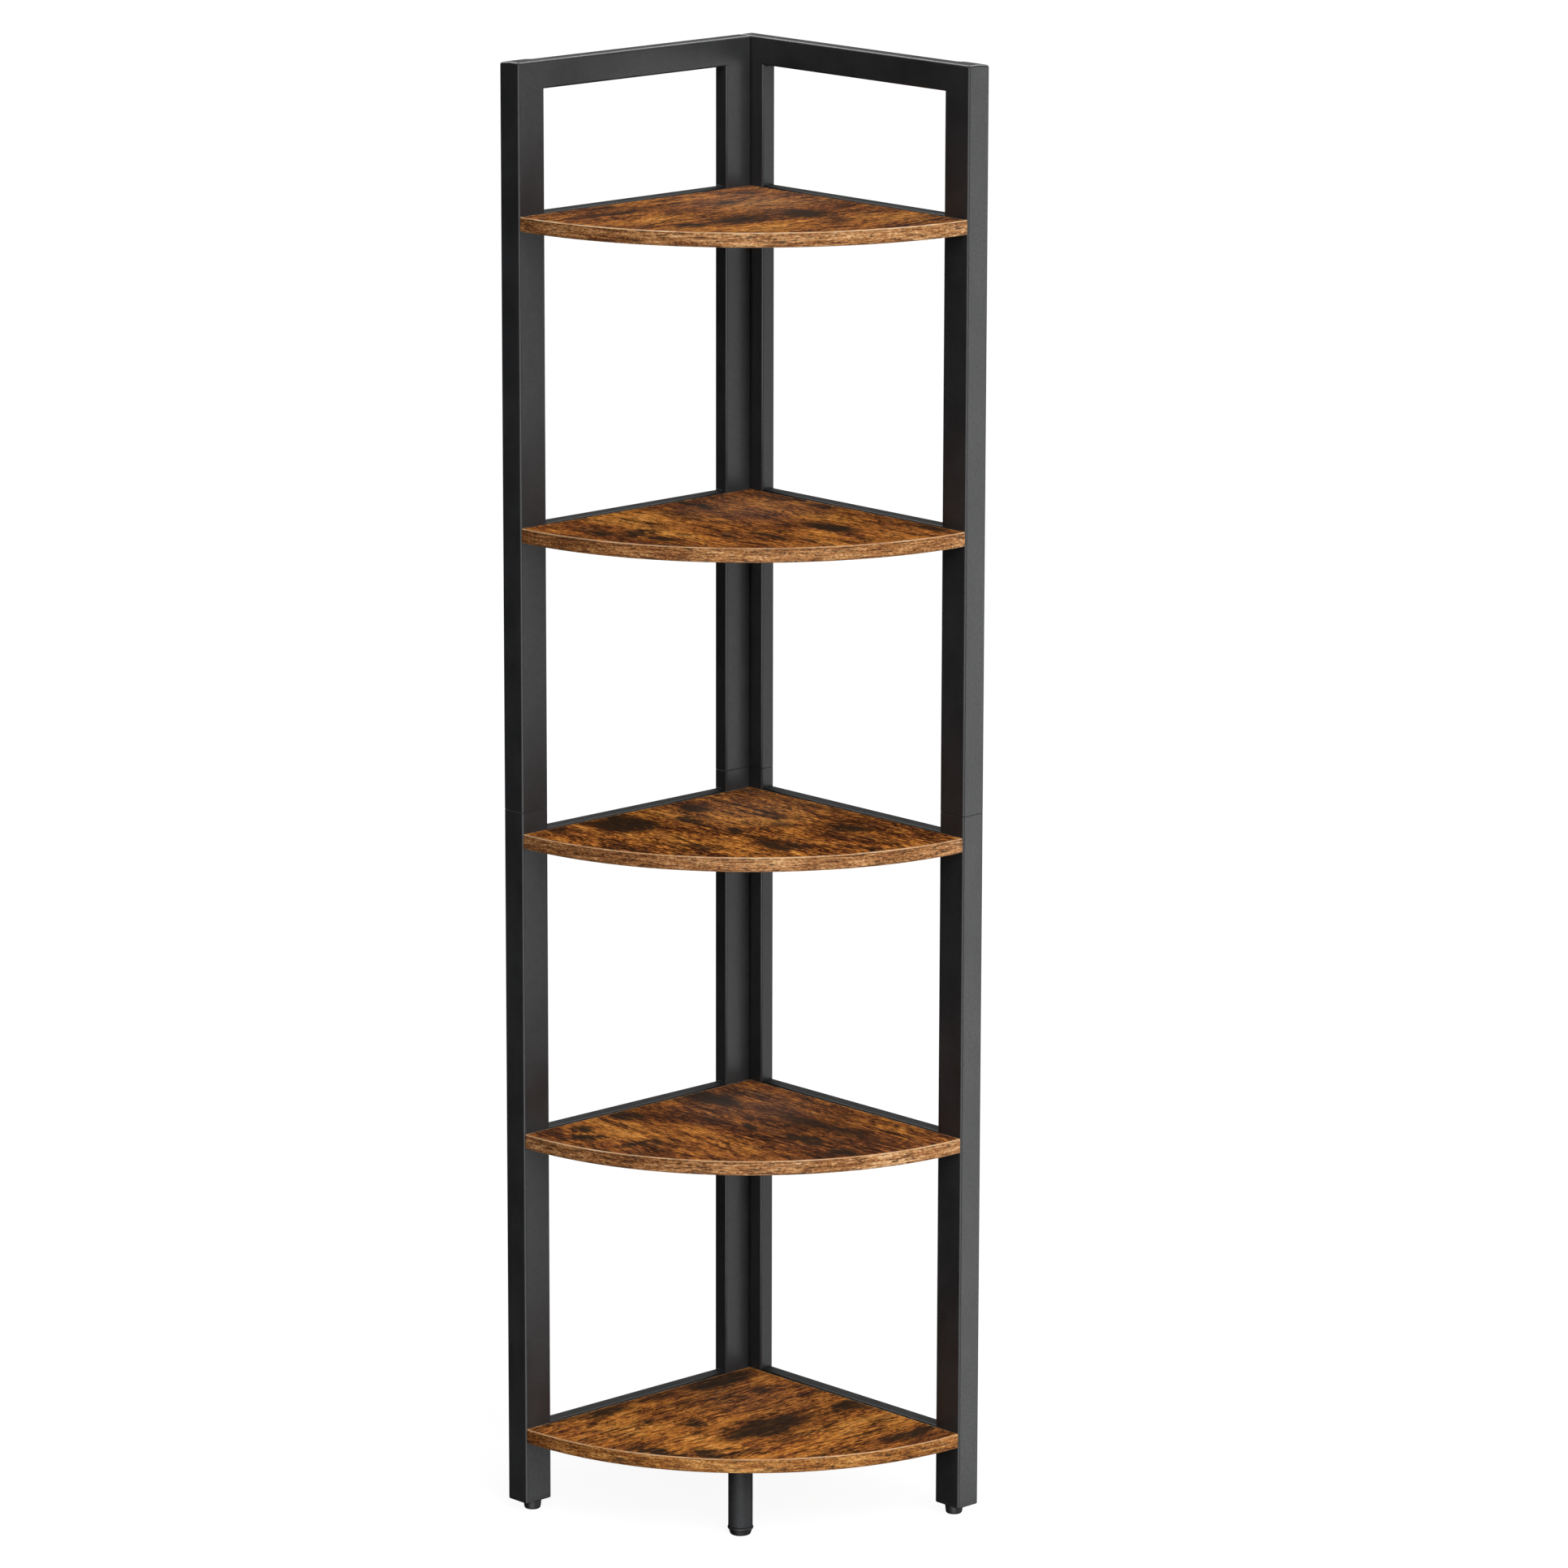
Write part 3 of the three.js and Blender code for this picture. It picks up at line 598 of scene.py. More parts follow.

# Blotches of each board: place from the inside corner and half size in mm, and strength.
# The sheen pair of each board is a painted reflection: its strength on the whole board, and added to that near the
# corner.
PRINTS = {
    1: dict(seed=1.0, along="v", cast=0.075, crisp=1.6, wild=0.85, painted_sheen=(0.026, 0.040), band=0.0, warm=0.15, worn=0.95,
            dark=[(153, 77, 26, 22, 0.80), (140, 142, 20, 34, 0.72), (137, 195, 13, 24, 0.60), (63, 82, 15, 30, 0.52), (42, 200, 8, 50, 0.62),
                  (14, 180, 8, 16, 0.55), (205, 85, 13, 10, 0.48), (30, 30, 14, 18, 0.5)],
            light=[(95, 60, 22, 50, 0.7), (215, 40, 30, 40, 0.7), (185, 165, 14, 50, 0.9), (95, 190, 18, 40, 0.6), (20, 90, 10, 30, 0.4)]),
    2: dict(seed=2.0, along="u", cast=0.060, crisp=1.4, wild=0.85, painted_sheen=(0.008, 0.040), band=-0.040, warm=0.25, worn=0.62,
            dark=[(25, 89, 28, 6, 0.85), (42, 123, 22, 6, 0.55), (182, 70, 34, 13, 0.80), (240, 10, 26, 10, 0.70), (84, 213, 10, 20, 0.95),
                  (117, 217, 18, 6, 0.80), (60, 240, 18, 9, 0.75), (172, 136, 26, 6, 0.55), (155, 168, 12, 4, 0.7), (105, 9, 22, 8, 0.62)],
            light=[(140, 46, 44, 13, 1.0), (38, 175, 42, 26, 1.2), (190, 95, 30, 10, 0.8), (120, 195, 30, 8, 1.1), (225, 120, 24, 14, 0.5)]),
    3: dict(seed=3.0, along="u", cast=0.090, crisp=2.3, wild=1.0, painted_sheen=(0.004, 0.034), band=-0.015, warm=0.10, worn=0.66,
            dark=[(29, 180, 29, 26, 1.05), (26, 97, 19, 12, 0.88), (179, 46, 17, 9, 0.95), (178, 143, 25, 8, 0.95), (118, 128, 11, 13, 0.75),
                  (62, 131, 16, 6, 0.85), (198, 126, 13, 9, 0.80), (130, 80, 14, 11, 0.55), (112, 12, 110, 10, 0.42), (142, 197, 14, 8, 0.6),
                  (85, 240, 20, 9, 0.5), (12, 240, 16, 14, 0.6)],
            light=[(92, 88, 46, 26, 0.9), (222, 147, 16, 7, 1.3), (48, 128, 30, 10, 1.0), (160, 100, 40, 16, 0.7), (60, 215, 34, 10, 0.5)]),
    4: dict(seed=4.0, along="u", cast=0.000, crisp=0.9, wild=0.75, painted_sheen=(0.013, 0.034), band=0.035, warm=0.10, worn=0.66,
            dark=[(22, 72, 34, 17, 0.80), (150, 60, 85, 17, 0.58), (118, 113, 15, 6, 0.95), (182, 105, 20, 8, 0.92), (15, 165, 19, 12, 0.85),
                  (97, 222, 7, 23, 0.82), (47, 240, 8, 13, 0.9), (22, 225, 9, 11, 0.75), (238, 110, 15, 20, 0.62), (150, 20, 14, 9, 0.5)],
            light=[(215, 25, 44, 15, 0.8), (110, 160, 60, 14, 0.7), (60, 205, 44, 24, 0.8), (175, 170, 30, 18, 0.4)]),
    5: dict(seed=5.0, along="v", cast=0.135, crisp=1.1, wild=0.62, painted_sheen=(0.009, 0.014), band=-0.030, warm=0.85, worn=0.58,
            dark=[(143, 112, 18, 42, 1.05), (147, 15, 13, 22, 0.95), (15, 50, 15, 42, 0.90), (92, 152, 11, 9, 0.80), (60, 33, 10, 13, 0.6),
                  (10, 120, 12, 24, 0.6), (10, 195, 13, 34, 0.72), (58, 178, 8, 9, 0.6), (165, 205, 20, 13, 0.72), (133, 238, 29, 11, 0.9),
                  (243, 35, 9, 34, 0.75), (62, 100, 9, 24, 0.4)],
            light=[(58, 212, 26, 30, 1.2), (203, 75, 26, 60, 0.7), (110, 60, 14, 40, 0.4), (150, 180, 24, 16, 0.8), (235, 120, 12, 40, 0.6)]),
}


# ---------------------------------------------------------------------- tubes
def post_shell(cx, cy, a, b, z0, z1, closed_top, outward=None):
    """Hollow rounded tube. The open ends have a small worn chamfer, the closed top a ground, rounded edge.

    outward is given for a front post, which is deeper than the rail: its top rounds off on that side.
    """
    seg = 6

    def fall(x, y):
        if outward is None:
            return 0.0
        d = (x - cx) * outward[0] + (y - cy) * outward[1]
        f = min(max((d - 2.5) / 10.0, 0.0), 1.0)
        return TOP_FALL * f ** 1.35

    def ring(inset, z, aa=a, bb=b, r=TUBE_R):
        low = closed_top and z > z1 - TOP_R - 0.01
        return [(cx + px, cy + py, z - (fall(cx + px, cy + py) if low else 0.0))
                for px, py in rounded_rect(aa - 2 * inset, bb - 2 * inset, max(r - inset, 0.25), seg)]

    ai, bi, ri = a - 2 * WALL, b - 2 * WALL, TUBE_R - WALL * 0.75
    inner = lambda z, extra=0.0: ring(-extra, z, ai, bi, ri)
    rings = []
    if closed_top:
        top_inner = z1 - 3.2
        rings.append(ring(2.0, top_inner, ai, bi, ri + 1.5))
        rings.append(inner(top_inner))
        rings.append(inner(z0 + 0.25))
        rings.append(inner(z0, 0.2))
        rings.append(ring(0.28, z0))
        rings.append(ring(0.0, z0 + 0.28))
        for k in range(0, 3):
            rings.append(ring(0.0, z0 + 0.28 + (z1 - TOP_R - z0 - 0.28) * (k + 1) / 3))
        for k in range(1, 10):
            t = math.radians(90.0 * k / 9)
            rings.append(ring(TOP_R * (1 - math.cos(t)), z1 - TOP_R + TOP_R * math.sin(t)))
        half = min(a, b) / 2
        for inset in (TOP_R + 0.8, TOP_R + 2.2, half - 5.0, half - 2.5, half - 0.3):
            if inset > TOP_R + 0.5:
                rings.append(ring(inset, z1))
        verts, faces = rings_to_shell(rings, cap_start=True, cap_end=True)
        return verts, faces
    rings += [inner(z0, 0.2), ring(0.12, z0), ring(0.0, z0 + 0.12)]
    for k in range(0, 3):
        rings.append(ring(0.0, z0 + 0.28 + (z1 - z0 - 0.56) * (k + 1) / 3))
    rings += [ring(0.28, z1), inner(z1, 0.2), inner(z1 - 0.25), inner(z0 + 0.25)]
    return rings_to_shell(rings, closed=True)


for name, (cx, cy, a, b) in POSTS.items():
    for part, z0, z1, top in (("lower", 13.3, SPLIT - 0.10, False), ("upper", SPLIT + 0.10, HEIGHT, True)):
        build = Build()
        outward = {"left_front": (-1.0, 0.0), "right_front": (0.0, 1.0)}.get(name) if top else None
        build.add(post_shell(cx, cy, a, b, z0, z1, top, outward))
        obj = build.make(f"{name}_post_{part}_tube", STEEL)
        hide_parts(f"{name}_post_{part}")
        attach(obj, "shelf_unit")


def recede(across, half, z=None):
    """How far a bar's end runs past a post's flat side at this place, so that it fills the rounded corner like a ground weld."""
    i = 0.0
    if z is not None and z > HEIGHT - TOP_R:
        h = z - (HEIGHT - TOP_R)
        i = TOP_R - math.sqrt(max(TOP_R * TOP_R - h * h, 0.0))
    r = max(TUBE_R - i, 0.25)
    d = abs(across)
    flat = half - i - r
    if d <= flat:
        return i
    if d >= half - i:
        return i + r
    return i + r - math.sqrt(max(r * r - (d - flat) ** 2, 0.0))


def cross_bar(depth, height, run_axis, start, end, mid_depth, z_mid, start_post, end_post, z_top_weld):
    """Square tube between two posts. start_post and end_post are (middle across the depth, half depth, flat side)."""
    seg = 6
    outline = rounded_rect(depth, height, TUBE_R, seg, flat=3)
    if z_top_weld:
        outline = [q if q[1] > 0 else p for p, q in zip(outline, rounded_rect(depth, height, TOP_R, seg, flat=3))]
    hollow = rounded_rect(depth - 2 * WALL, height - 2 * WALL, TUBE_R - WALL * 0.75, seg, flat=3)
    rings = []

    def place(px, pz, along):
        d, z = mid_depth + px, z_mid + pz
        return (d, along, z) if run_axis == "y" else (along, d, z)

    def end_ring(points, post, sign):
        out = []
        for px, pz in points:
            mid, half, side = post
            z = z_mid + pz
            out.append(place(px, pz, side + sign * (recede(mid_depth + px - mid, half, z if z_top_weld else None) + 0.02)))
        return out

    direction = 1 if end > start else -1
    cuts = 5
    rings.append(end_ring(hollow, start_post, -direction))
    rings.append(end_ring(outline, start_post, -direction))
    for k in range(cuts + 1):
        along = start + direction * 3.0 + (end - start - direction * 6.0) * k / cuts
        rings.append([place(px, pz, along) for px, pz in outline])
    rings.append(end_ring(outline, end_post, direction))
    rings.append(end_ring(hollow, end_post, direction))
    verts, faces = rings_to_shell(rings, closed=True)
    flip = (run_axis == "y") == (direction > 0)
    if flip:
        faces = [tuple(reversed(f)) for f in faces]
    return verts, faces


def weld_bead(p0, p1, wall_dir, floor_dir, leg, seed):
    """Rippled fillet from p0 to p1 in the corner between two faces. wall_dir and floor_dir lead away from the corner along each face."""
    p0, p1, wd, fd = Vector(p0), Vector(p1), Vector(wall_dir), Vector(floor_dir)
    length = (p1 - p0).length
    steps = max(8, int(length / 0.45))
    rings = []
    for i in range(steps + 1):
        f = i / steps
        taper = min(1.0, math.sqrt(min(f, 1 - f) * length / 1.2 + 0.02))
        wave = math.sin(2 * math.pi * (f * length / 1.9) + seed * 1.7)
        size = leg * taper * (1.0 + 0.09 * wave + 0.06 * math.sin(seed * 3.1 + f * 7.0))
        base = p0.lerp(p1, f) + (p1 - p0).normalized() * 0.12 * wave
        back = (wd + fd) * -0.25
        ring = [base + back]
        for k in range(7):
            t = k / 6
            bulge = 0.16 * math.sin(math.pi * t)
            ring.append(base + wd * size * ((1 - t) + bulge) + fd * size * (t + bulge) + (wd * -0.22 if k == 6 else fd * -0.22 if k == 0 else Vector((0, 0, 0))))
        rings.append([tuple(q) for q in ring])
    verts, faces = rings_to_shell(rings)
    along = (p1 - p0).normalized()
    if along.dot(wd.cross(fd)) < 0:
        faces = [tuple(reversed(f)) for f in faces]
    return verts, faces


LEFT_SPAN = (94.7 + 0.3, -119.7 - 0.3)      # flat sides of the left posts, along Y
RIGHT_SPAN = (-109.7 - 0.3, 119.7 + 0.3)    # flat sides of the right posts, along X
LEFT_FRONT_SIDE = (-137.5, 12.5, LEFT_SPAN[1])
LEFT_REAR_SIDE = (-132.5, 7.5, LEFT_SPAN[0])
RIGHT_REAR_SIDE = (132.5, 7.5, RIGHT_SPAN[0])
RIGHT_FRONT_SIDE = (137.5, 12.5, RIGHT_SPAN[1])


def bar_piece(name, side, height, z_mid, z_top_weld, node, seed):
    build = Build()
    if side == "left":
        build.add(cross_bar(15.0, height, "y", LEFT_SPAN[0], LEFT_SPAN[1], -132.5, z_mid, LEFT_REAR_SIDE, LEFT_FRONT_SIDE, z_top_weld))
        ends = ((LEFT_SPAN[0], -1.0, 7.5), (LEFT_SPAN[1], 1.0, 12.5))
    else:
        build.add(cross_bar(15.0, height, "x", RIGHT_SPAN[0], RIGHT_SPAN[1], 132.5, z_mid, RIGHT_REAR_SIDE, RIGHT_FRONT_SIDE, z_top_weld))
        ends = ((RIGHT_SPAN[0], 1.0, 7.5), (RIGHT_SPAN[1], -1.0, 12.5))
    beads = Build()
    top, low = z_mid + height / 2, z_mid - height / 2
    for j, (at, into, half) in enumerate(ends):
        def pt(depth, z):
            return (depth, at, z) if side == "left" else (at, depth, z)
        along = (0.0, into, 0.0) if side == "left" else (into, 0.0, 0.0)
        # outer is away from the boards: -X on the left frame, +Y on the right
        d_in, d_out = (-127.4, -137.8) if side == "left" else (127.4, 137.8)
        out_dir = (-1.0, 0.0, 0.0) if side == "left" else (0.0, 1.0, 0.0)
        face = -140.0 if side == "left" else 140.0
        leg = 1.5
        beads.add(weld_bead(pt(d_in, low), pt(d_out, low), (0.0, 0.0, -1.0), along, leg, seed + j))
        if not z_top_weld:
            beads.add(weld_bead(pt(d_in, top), pt(d_out, top), (0.0, 0.0, 1.0), along, leg, seed + j + 3))
        if half > 10:
            beads.add(weld_bead(pt(face, low + 1.6), pt(face, top - (4.2 if z_top_weld else 1.6)), out_dir, along, leg, seed + j + 5))
    # the crossbars take the darker copy of the coat, a painted shade; the top rails take the plain coat
    coat = STEEL if z_top_weld else SHADED_BAR_STEEL
    obj = build.make(f"{name}_tube", coat)
    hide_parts(node)
    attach(obj, "shelf_unit")
    weld = beads.make(f"{name}_welds", coat)
    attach(weld, "shelf_unit")


bar_piece("left_top_rail", "left", RAIL, HEIGHT - RAIL / 2, True, "left_top_rail", 2)
bar_piece("right_top_rail", "right", RAIL, HEIGHT - RAIL / 2, True, "right_top_rail", 4)
for i, top in enumerate(BAR_TOPS):
    n_ = i + 1
    bar_piece(f"left_crossbar_{n_}", "left", BAR, top - BAR / 2, False, f"left_crossbar_{n_}", 10 + 3 * i)
    bar_piece(f"right_crossbar_{n_}", "right", BAR, top - BAR / 2, False, f"right_crossbar_{n_}", 30 + 3 * i)


# --------------------------------------------------------------------- boards
def arc_point(radius, angle, gap=0.3):
    """Point on the board's arc, kept off the frame by the gap. angle 0 is along the right frame."""
    u, v = radius * math.cos(angle), radius * math.sin(angle)
    return max(u, gap), max(v, gap)


def place_uv(u, v, z):
    return (CORNER_X + u, CORNER_Y - v, z)


def board_panel(z_top):
    """Chipboard core with laminated faces, inside its edge bands."""
    inner = SIDE - BAND
    lo = 0.3 + BACK_BAND
    arc = []
    steps = 72
    a0 = math.asin(lo / inner)
    for k in range(steps + 1):
        t = a0 + (math.pi / 2 - 2 * a0) * k / steps
        arc.append((inner * math.cos(t), inner * math.sin(t)))
    outline = [(lo, lo)]
    for k in range(1, 10):
        outline.append((lo + (arc[0][0] - lo) * k / 10, lo))
    outline += arc
    for k in range(9, 0, -1):
        outline.append((lo, lo + (arc[-1][1] - lo) * k / 10))

    def ring(shrink, z):
        cu, cv = 110.0, 110.0
        out = []
        for u, v in outline:
            r = math.hypot(u, v)
            if r > inner - 0.01:
                u, v = u * (inner - shrink) / inner, v * (inner - shrink) / inner
            u, v = max(u, lo + shrink), max(v, lo + shrink)
            out.append(place_uv(u, v, z))
        return out

    rings = [ring(0.12, z_top - BOARD), ring(0.0, z_top - BOARD + 0.12), ring(0.0, z_top - 0.12), ring(0.12, z_top)]
    verts, faces = rings_to_shell(rings)
    return verts, [tuple(reversed(f)) for f in faces]


def board_front_band(z_top):
    """Edge band on the arc, with its arrises rounded and its ends eased."""
    z_low = z_top - BOARD
    section = []
    for k in range(7):
        t = math.radians(90.0 * k / 6)
        section.append((SIDE - ARRIS + ARRIS * math.sin(t), z_low + ARRIS - ARRIS * math.cos(t)))
    for k in range(1, 5):
        section.append((SIDE, z_low + ARRIS + (BOARD - 2 * ARRIS) * k / 5))
    for k in range(7):
        t = math.radians(90.0 * k / 6)
        section.append((SIDE - ARRIS + ARRIS * math.cos(t), z_top - ARRIS + ARRIS * math.sin(t)))
    section.append((SIDE - BAND + 0.02, z_top))
    section.append((SIDE - BAND + 0.02, z_low))
    steps = 144
    rings = []
    end = math.asin(0.3 / SIDE)
    ease = [(0.0, 0.85), (0.25, 0.38), (0.85, 0.0)]
    stations = []
    for d, cut in ease:
        stations.append((end + d / SIDE, cut))
    a1, a2 = end + 2.0 / SIDE, math.pi / 2 - end - 2.0 / SIDE
    for k in range(steps + 1):
        stations.append((a1 + (a2 - a1) * k / steps, 0.0))
    for d, cut in reversed(ease):
        stations.append((math.pi / 2 - end - d / SIDE, cut))
    for t, cut in stations:
        ring = []
        for r, z in section:
            rr = max(r - cut, SIDE - BAND + 0.08) if r > SIDE - BAND + 0.1 else SIDE - BAND + 0.03
            u, v = rr * math.cos(t), rr * math.sin(t)
            ring.append(place_uv(u, v, z))
        rings.append(ring)
    verts, faces = rings_to_shell(rings)
    return verts, faces


def board_back_band(z_top, side):
    """Thin band on one straight edge, mitred into the corner, from the inside corner to the front band."""
    z_low = z_top - BOARD
    r = 0.5
    g = 0.3
    section = []   # (distance from the frame, z)
    for k in range(5):
        t = math.radians(90.0 * k / 4)
        section.append((g + r - r * math.sin(t), z_low + r - r * math.cos(t)))
    for k in range(5):
        t = math.radians(90.0 * k / 4)
        section.append((g + r - r * math.cos(t), z_top - r + r * math.sin(t)))
    section.append((g + BACK_BAND - 0.01, z_top))
    section.append((g + BACK_BAND - 0.01, z_low))
    rings = []
    end_r = SIDE - BAND - 0.03
    for k in range(13):
        f = k / 12
        ring = []
        for d, z in section:
            start = d                      # mitre
            stop = math.sqrt(end_r ** 2 - d ** 2)
            along = start + (stop - start) * f
            ring.append(place_uv(along, d, z) if side == "u" else place_uv(d, along, z))
        rings.append(ring)
    verts, faces = rings_to_shell(rings)
    if side == "v":
        return verts, [tuple(reversed(f)) for f in faces]
    return verts, faces


for i, bar_top in enumerate(BAR_TOPS):
    n_ = i + 1
    z_top = bar_top - 1.0
    spec = PRINTS[n_]
    face = wood_face(f"wood_print_{n_}", spec["seed"], spec["along"], spec["dark"], spec["light"], spec["cast"], spec["crisp"], spec["wild"], spec["painted_sheen"])
    build = Build()
    build.add(board_panel(z_top))
    panel = build.make(f"shelf_{n_}_panel", face)
    band_mat = wood_band(f"wood_band_{n_}", spec["seed"] + 11.0, z_top - BOARD / 2, spec["band"], None, spec["warm"], spec["worn"])
    build = Build()
    build.add(board_front_band(z_top))
    band = build.make(f"shelf_{n_}_front_edge_band", band_mat)
    pieces = [panel, band]
    for side, label in (("u", "right"), ("v", "left")):
        back_mat = wood_band(f"wood_back_band_{n_}_{label}", spec["seed"] + (21.0 if side == "u" else 31.0), z_top - BOARD / 2, -0.08, side)
        build = Build()
        build.add(board_back_band(z_top, side))
        pieces.append(build.make(f"shelf_{n_}_{label}_edge_band", back_mat))
    for obj in pieces:
        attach(obj, "shelf_unit")
    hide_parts(f"shelf_board_{n_}")
    for obj in pieces[1:]:
        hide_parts(f"shelf_board_{n_}")


# --------------------------------------------------------------------- screws
def screw_shell():
    """Button head screw with a hexagon socket along +Z: head below z = 0, shank above it."""
    seg = 36
    R, H, r, length = 4.75, 2.6, 2.5, 15.0 + 0.6 + 12.0
    outer = [(R, 0.0), (R, -0.35)]
    for k in range(1, 8):
        t = math.radians(90.0 * k / 8)
        outer.append((2.15 + (R - 2.15) * math.cos(t) ** 0.9, -0.35 - (H - 0.35) * math.sin(t)))
    outer.append((2.35, -H))

    def circle(rad, z):
        return [(rad * math.cos(2 * math.pi * k / seg), rad * math.sin(2 * math.pi * k / seg), z) for k in range(seg)]

    def hexagon(apothem, z):
        out = []
        for k in range(seg):
            t = 2 * math.pi * k / seg
            local = (t % (math.pi / 3)) - math.pi / 6
            rad = apothem / math.cos(local)
            out.append((rad * math.cos(t), rad * math.sin(t), z))
        return out

    rings = [circle(0.25, -0.55), hexagon(1.40, -0.95), hexagon(1.50, -1.0), hexagon(1.50, -H + 0.22), hexagon(1.68, -H)]
    for rad, z in reversed(outer):
        rings.append(circle(rad, z))
    rings.append(circle(r + 0.35, 0.0))
    rings.append(circle(r, 0.35))
    rings.append(circle(r, length - 1.2))
    rings.append(circle(r - 1.1, length))
    verts, faces = rings_to_shell(rings)
    return verts, faces


SCREW = screw_shell()


def turned_screw(matrix):
    verts, faces = SCREW
    return [tuple(matrix @ Vector(p)) for p in verts], faces


for i, bar_top in enumerate(BAR_TOPS):
    z = bar_top - BAR / 2
    for k, at in enumerate(SCREWS):
        tag = f"{i + 1}{'ab'[k]}"
        spin = Matrix.Rotation(math.radians(17 + 41 * i + 23 * k), 4, "Z")
        left = Matrix.Translation((CORNER_X - BAR - 0.3, CORNER_Y - at, z)) @ Matrix.Rotation(math.pi / 2, 4, "Y") @ spin
        right = Matrix.Translation((CORNER_X + at, CORNER_Y + BAR + 0.3, z)) @ Matrix.Rotation(math.pi / 2, 4, "X") @ spin
        for side, matrix in (("left", left), ("right", right)):
            build = Build()
            build.add(turned_screw(matrix))
            obj = build.make(f"{side}_screw_{tag}_button_head", SCREW_STEEL)
            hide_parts(f"{side}_board_screw_{tag}")
            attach(obj, "shelf_unit")


# ------------------------------------------------------- plugs, feet and leg
def plug_shell(cx, cy, a, b, fx, fy):
    """Tube insert: a rim flush with the tube, a ribbed body inside it and a bore for the stud."""
    seg, flat = 6, 1
    n_pts = 4 * (seg + 1) + 4 * flat
    ai, bi = a - 2 * WALL - 0.6, b - 2 * WALL - 0.6

    def rect(aa, bb, r, z):
        return [(cx + px, cy + py, z) for px, py in rounded_rect(aa, bb, r, seg, flat)]

    def circle(rad, z, like):
        out = []
        for px, py, _ in like:
            t = math.atan2(py - (cy + fy), px - (cx + fx))
            out.append((cx + fx + rad * math.cos(t), cy + fy + rad * math.sin(t), z))
        return out

    like = rect(a, b, TUBE_R, 0)
    rings = [circle(3.3, 10.25, like), circle(3.7, 10.0, like)]
    for k in range(0, 5):
        t = math.radians(90.0 * k / 4)
        inset = 1.1 * (1 - math.sin(t))
        rings.append(rect(a - 2 * inset, b - 2 * inset, TUBE_R - inset * 0.8, 10.0 + 1.1 * (1 - math.cos(t))))
    rings.append(rect(a, b, TUBE_R, 13.12))
    rings.append(rect(a - 0.2, b - 0.2, TUBE_R - 0.1, 13.25))
    rings.append(rect(ai - 0.4, bi - 0.4, 1.0, 13.25))
    for k in range(5):
        z = 14.0 + 3.6 * k
        rings.append(rect(ai - 0.8, bi - 0.8, 1.0, z))
        rings.append(rect(ai, bi, 1.2, z + 0.5))
        rings.append(rect(ai, bi, 1.2, z + 1.3))
        rings.append(rect(ai - 0.8, bi - 0.8, 1.0, z + 1.9))
    rings.append(rect(ai - 1.6, bi - 1.6, 0.8, 33.0))
    rings.append(circle(3.3, 33.0, like))
    verts, faces = rings_to_shell(rings, closed=True)
    return verts, faces


def threaded_stud(cx, cy, z0, z1, major=3.0, minor=2.45, pitch=1.0):
    """Stud with a helical thread and a dog point."""
    seg, per = 28, 6
    turns = (z1 - z0 - 1.6) / pitch
    rings = []
    rows = int(turns * per)
    base = z0
    rings.append([(cx + minor * math.cos(2 * math.pi * k / seg), cy + minor * math.sin(2 * math.pi * k / seg), z0 - 0.6) for k in range(seg)])
    for i in range(rows + 1):
        ring = []
        for k in range(seg):
            a = 2 * math.pi * k / seg
            z = base + i * pitch / per + pitch * k / seg * 0.0
            phase = (i / per - k / seg) % 1.0
            tooth = 1.0 - abs(phase - 0.5) * 2.0
            fade = min(1.0, i / per, (rows - i) / per)
            r = minor + (major - minor) * min(1.0, tooth * 1.25) * max(0.15, fade)
            ring.append((cx + r * math.cos(a), cy + r * math.sin(a), z))
        rings.append(ring)
    top = base + rows * pitch / per
    for r, z in ((minor, top + 0.2), (minor - 0.15, z1 - 0.5), (minor - 0.7, z1)):
        rings.append([(cx + r * math.cos(2 * math.pi * k / seg), cy + r * math.sin(2 * math.pi * k / seg), z) for k in range(seg)])
    return rings_to_shell(rings)


for name, (cx, cy, a, b) in POSTS.items():
    lo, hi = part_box(f"{name}_foot")
    fx = (lo.x + hi.x) / 2 / MM - cx
    fy = (lo.y + hi.y) / 2 / MM - cy
    s = 1.0 if "front" in name else 0.9
    build = Build()
    build.add(plug_shell(cx, cy, a, b, fx, fy))
    plug = build.make(f"{name}_post_plug_insert", PLUG_PLASTIC)
    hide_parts(f"{name}_post_plug")
    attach(plug, "shelf_unit")

    profile = [(0, 0.35), (4.3 * s, 0.35), (4.6 * s, 0.0), (5.9 * s, 0.0), (6.75 * s, 0.32), (7.25 * s, 1.05), (7.55 * s, 2.1), (7.75 * s, 4.1),
               (8.02 * s, 6.7), (8.1 * s, 7.3), (8.08 * s, 8.2), (7.6 * s, 9.1), (6.9 * s, 9.55), (5.2, 9.7), (3.4, 9.7), (3.1, 9.45), (0, 9.45)]
    build = Build()
    build.add(lathe(soften(profile, 0.35, 3), 56, cx + fx, cy + fy))
    foot = build.make(f"{name}_foot_pad", FOOT_PLASTIC)
    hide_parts(f"{name}_foot")
    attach(foot, f"{name}_foot_body")
    build = Build()
    build.add(threaded_stud(cx + fx, cy + fy, 9.3, 35.6))
    stud = build.make(f"{name}_foot_threaded_stud", ZINC)
    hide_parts(f"{name}_foot")
    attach(stud, f"{name}_foot_body")

LEG_X, LEG_Y = CORNER_X + LEG_U, CORNER_Y - LEG_U
underside = BAR_TOPS[4] - 1.0 - BOARD
leg_top = underside - 0.05
build = Build()
profile = [(11.0, 8.75), (11.0, leg_top - 0.5), (10.75, leg_top - 0.06), (10.4, leg_top), (4.3, leg_top), (4.3, leg_top - 3.0),
           (9.5, leg_top - 3.0), (9.5, 8.35), (10.75, 8.35)]
build.add((lambda vf: (vf[0], [tuple(f) for f in vf[1]]))(lathe(profile, 64, LEG_X, LEG_Y)))
leg = build.make("front_leg_steel_tube", LEG_STEEL)
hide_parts("front_leg_tube")
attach(leg, "shelf_unit")

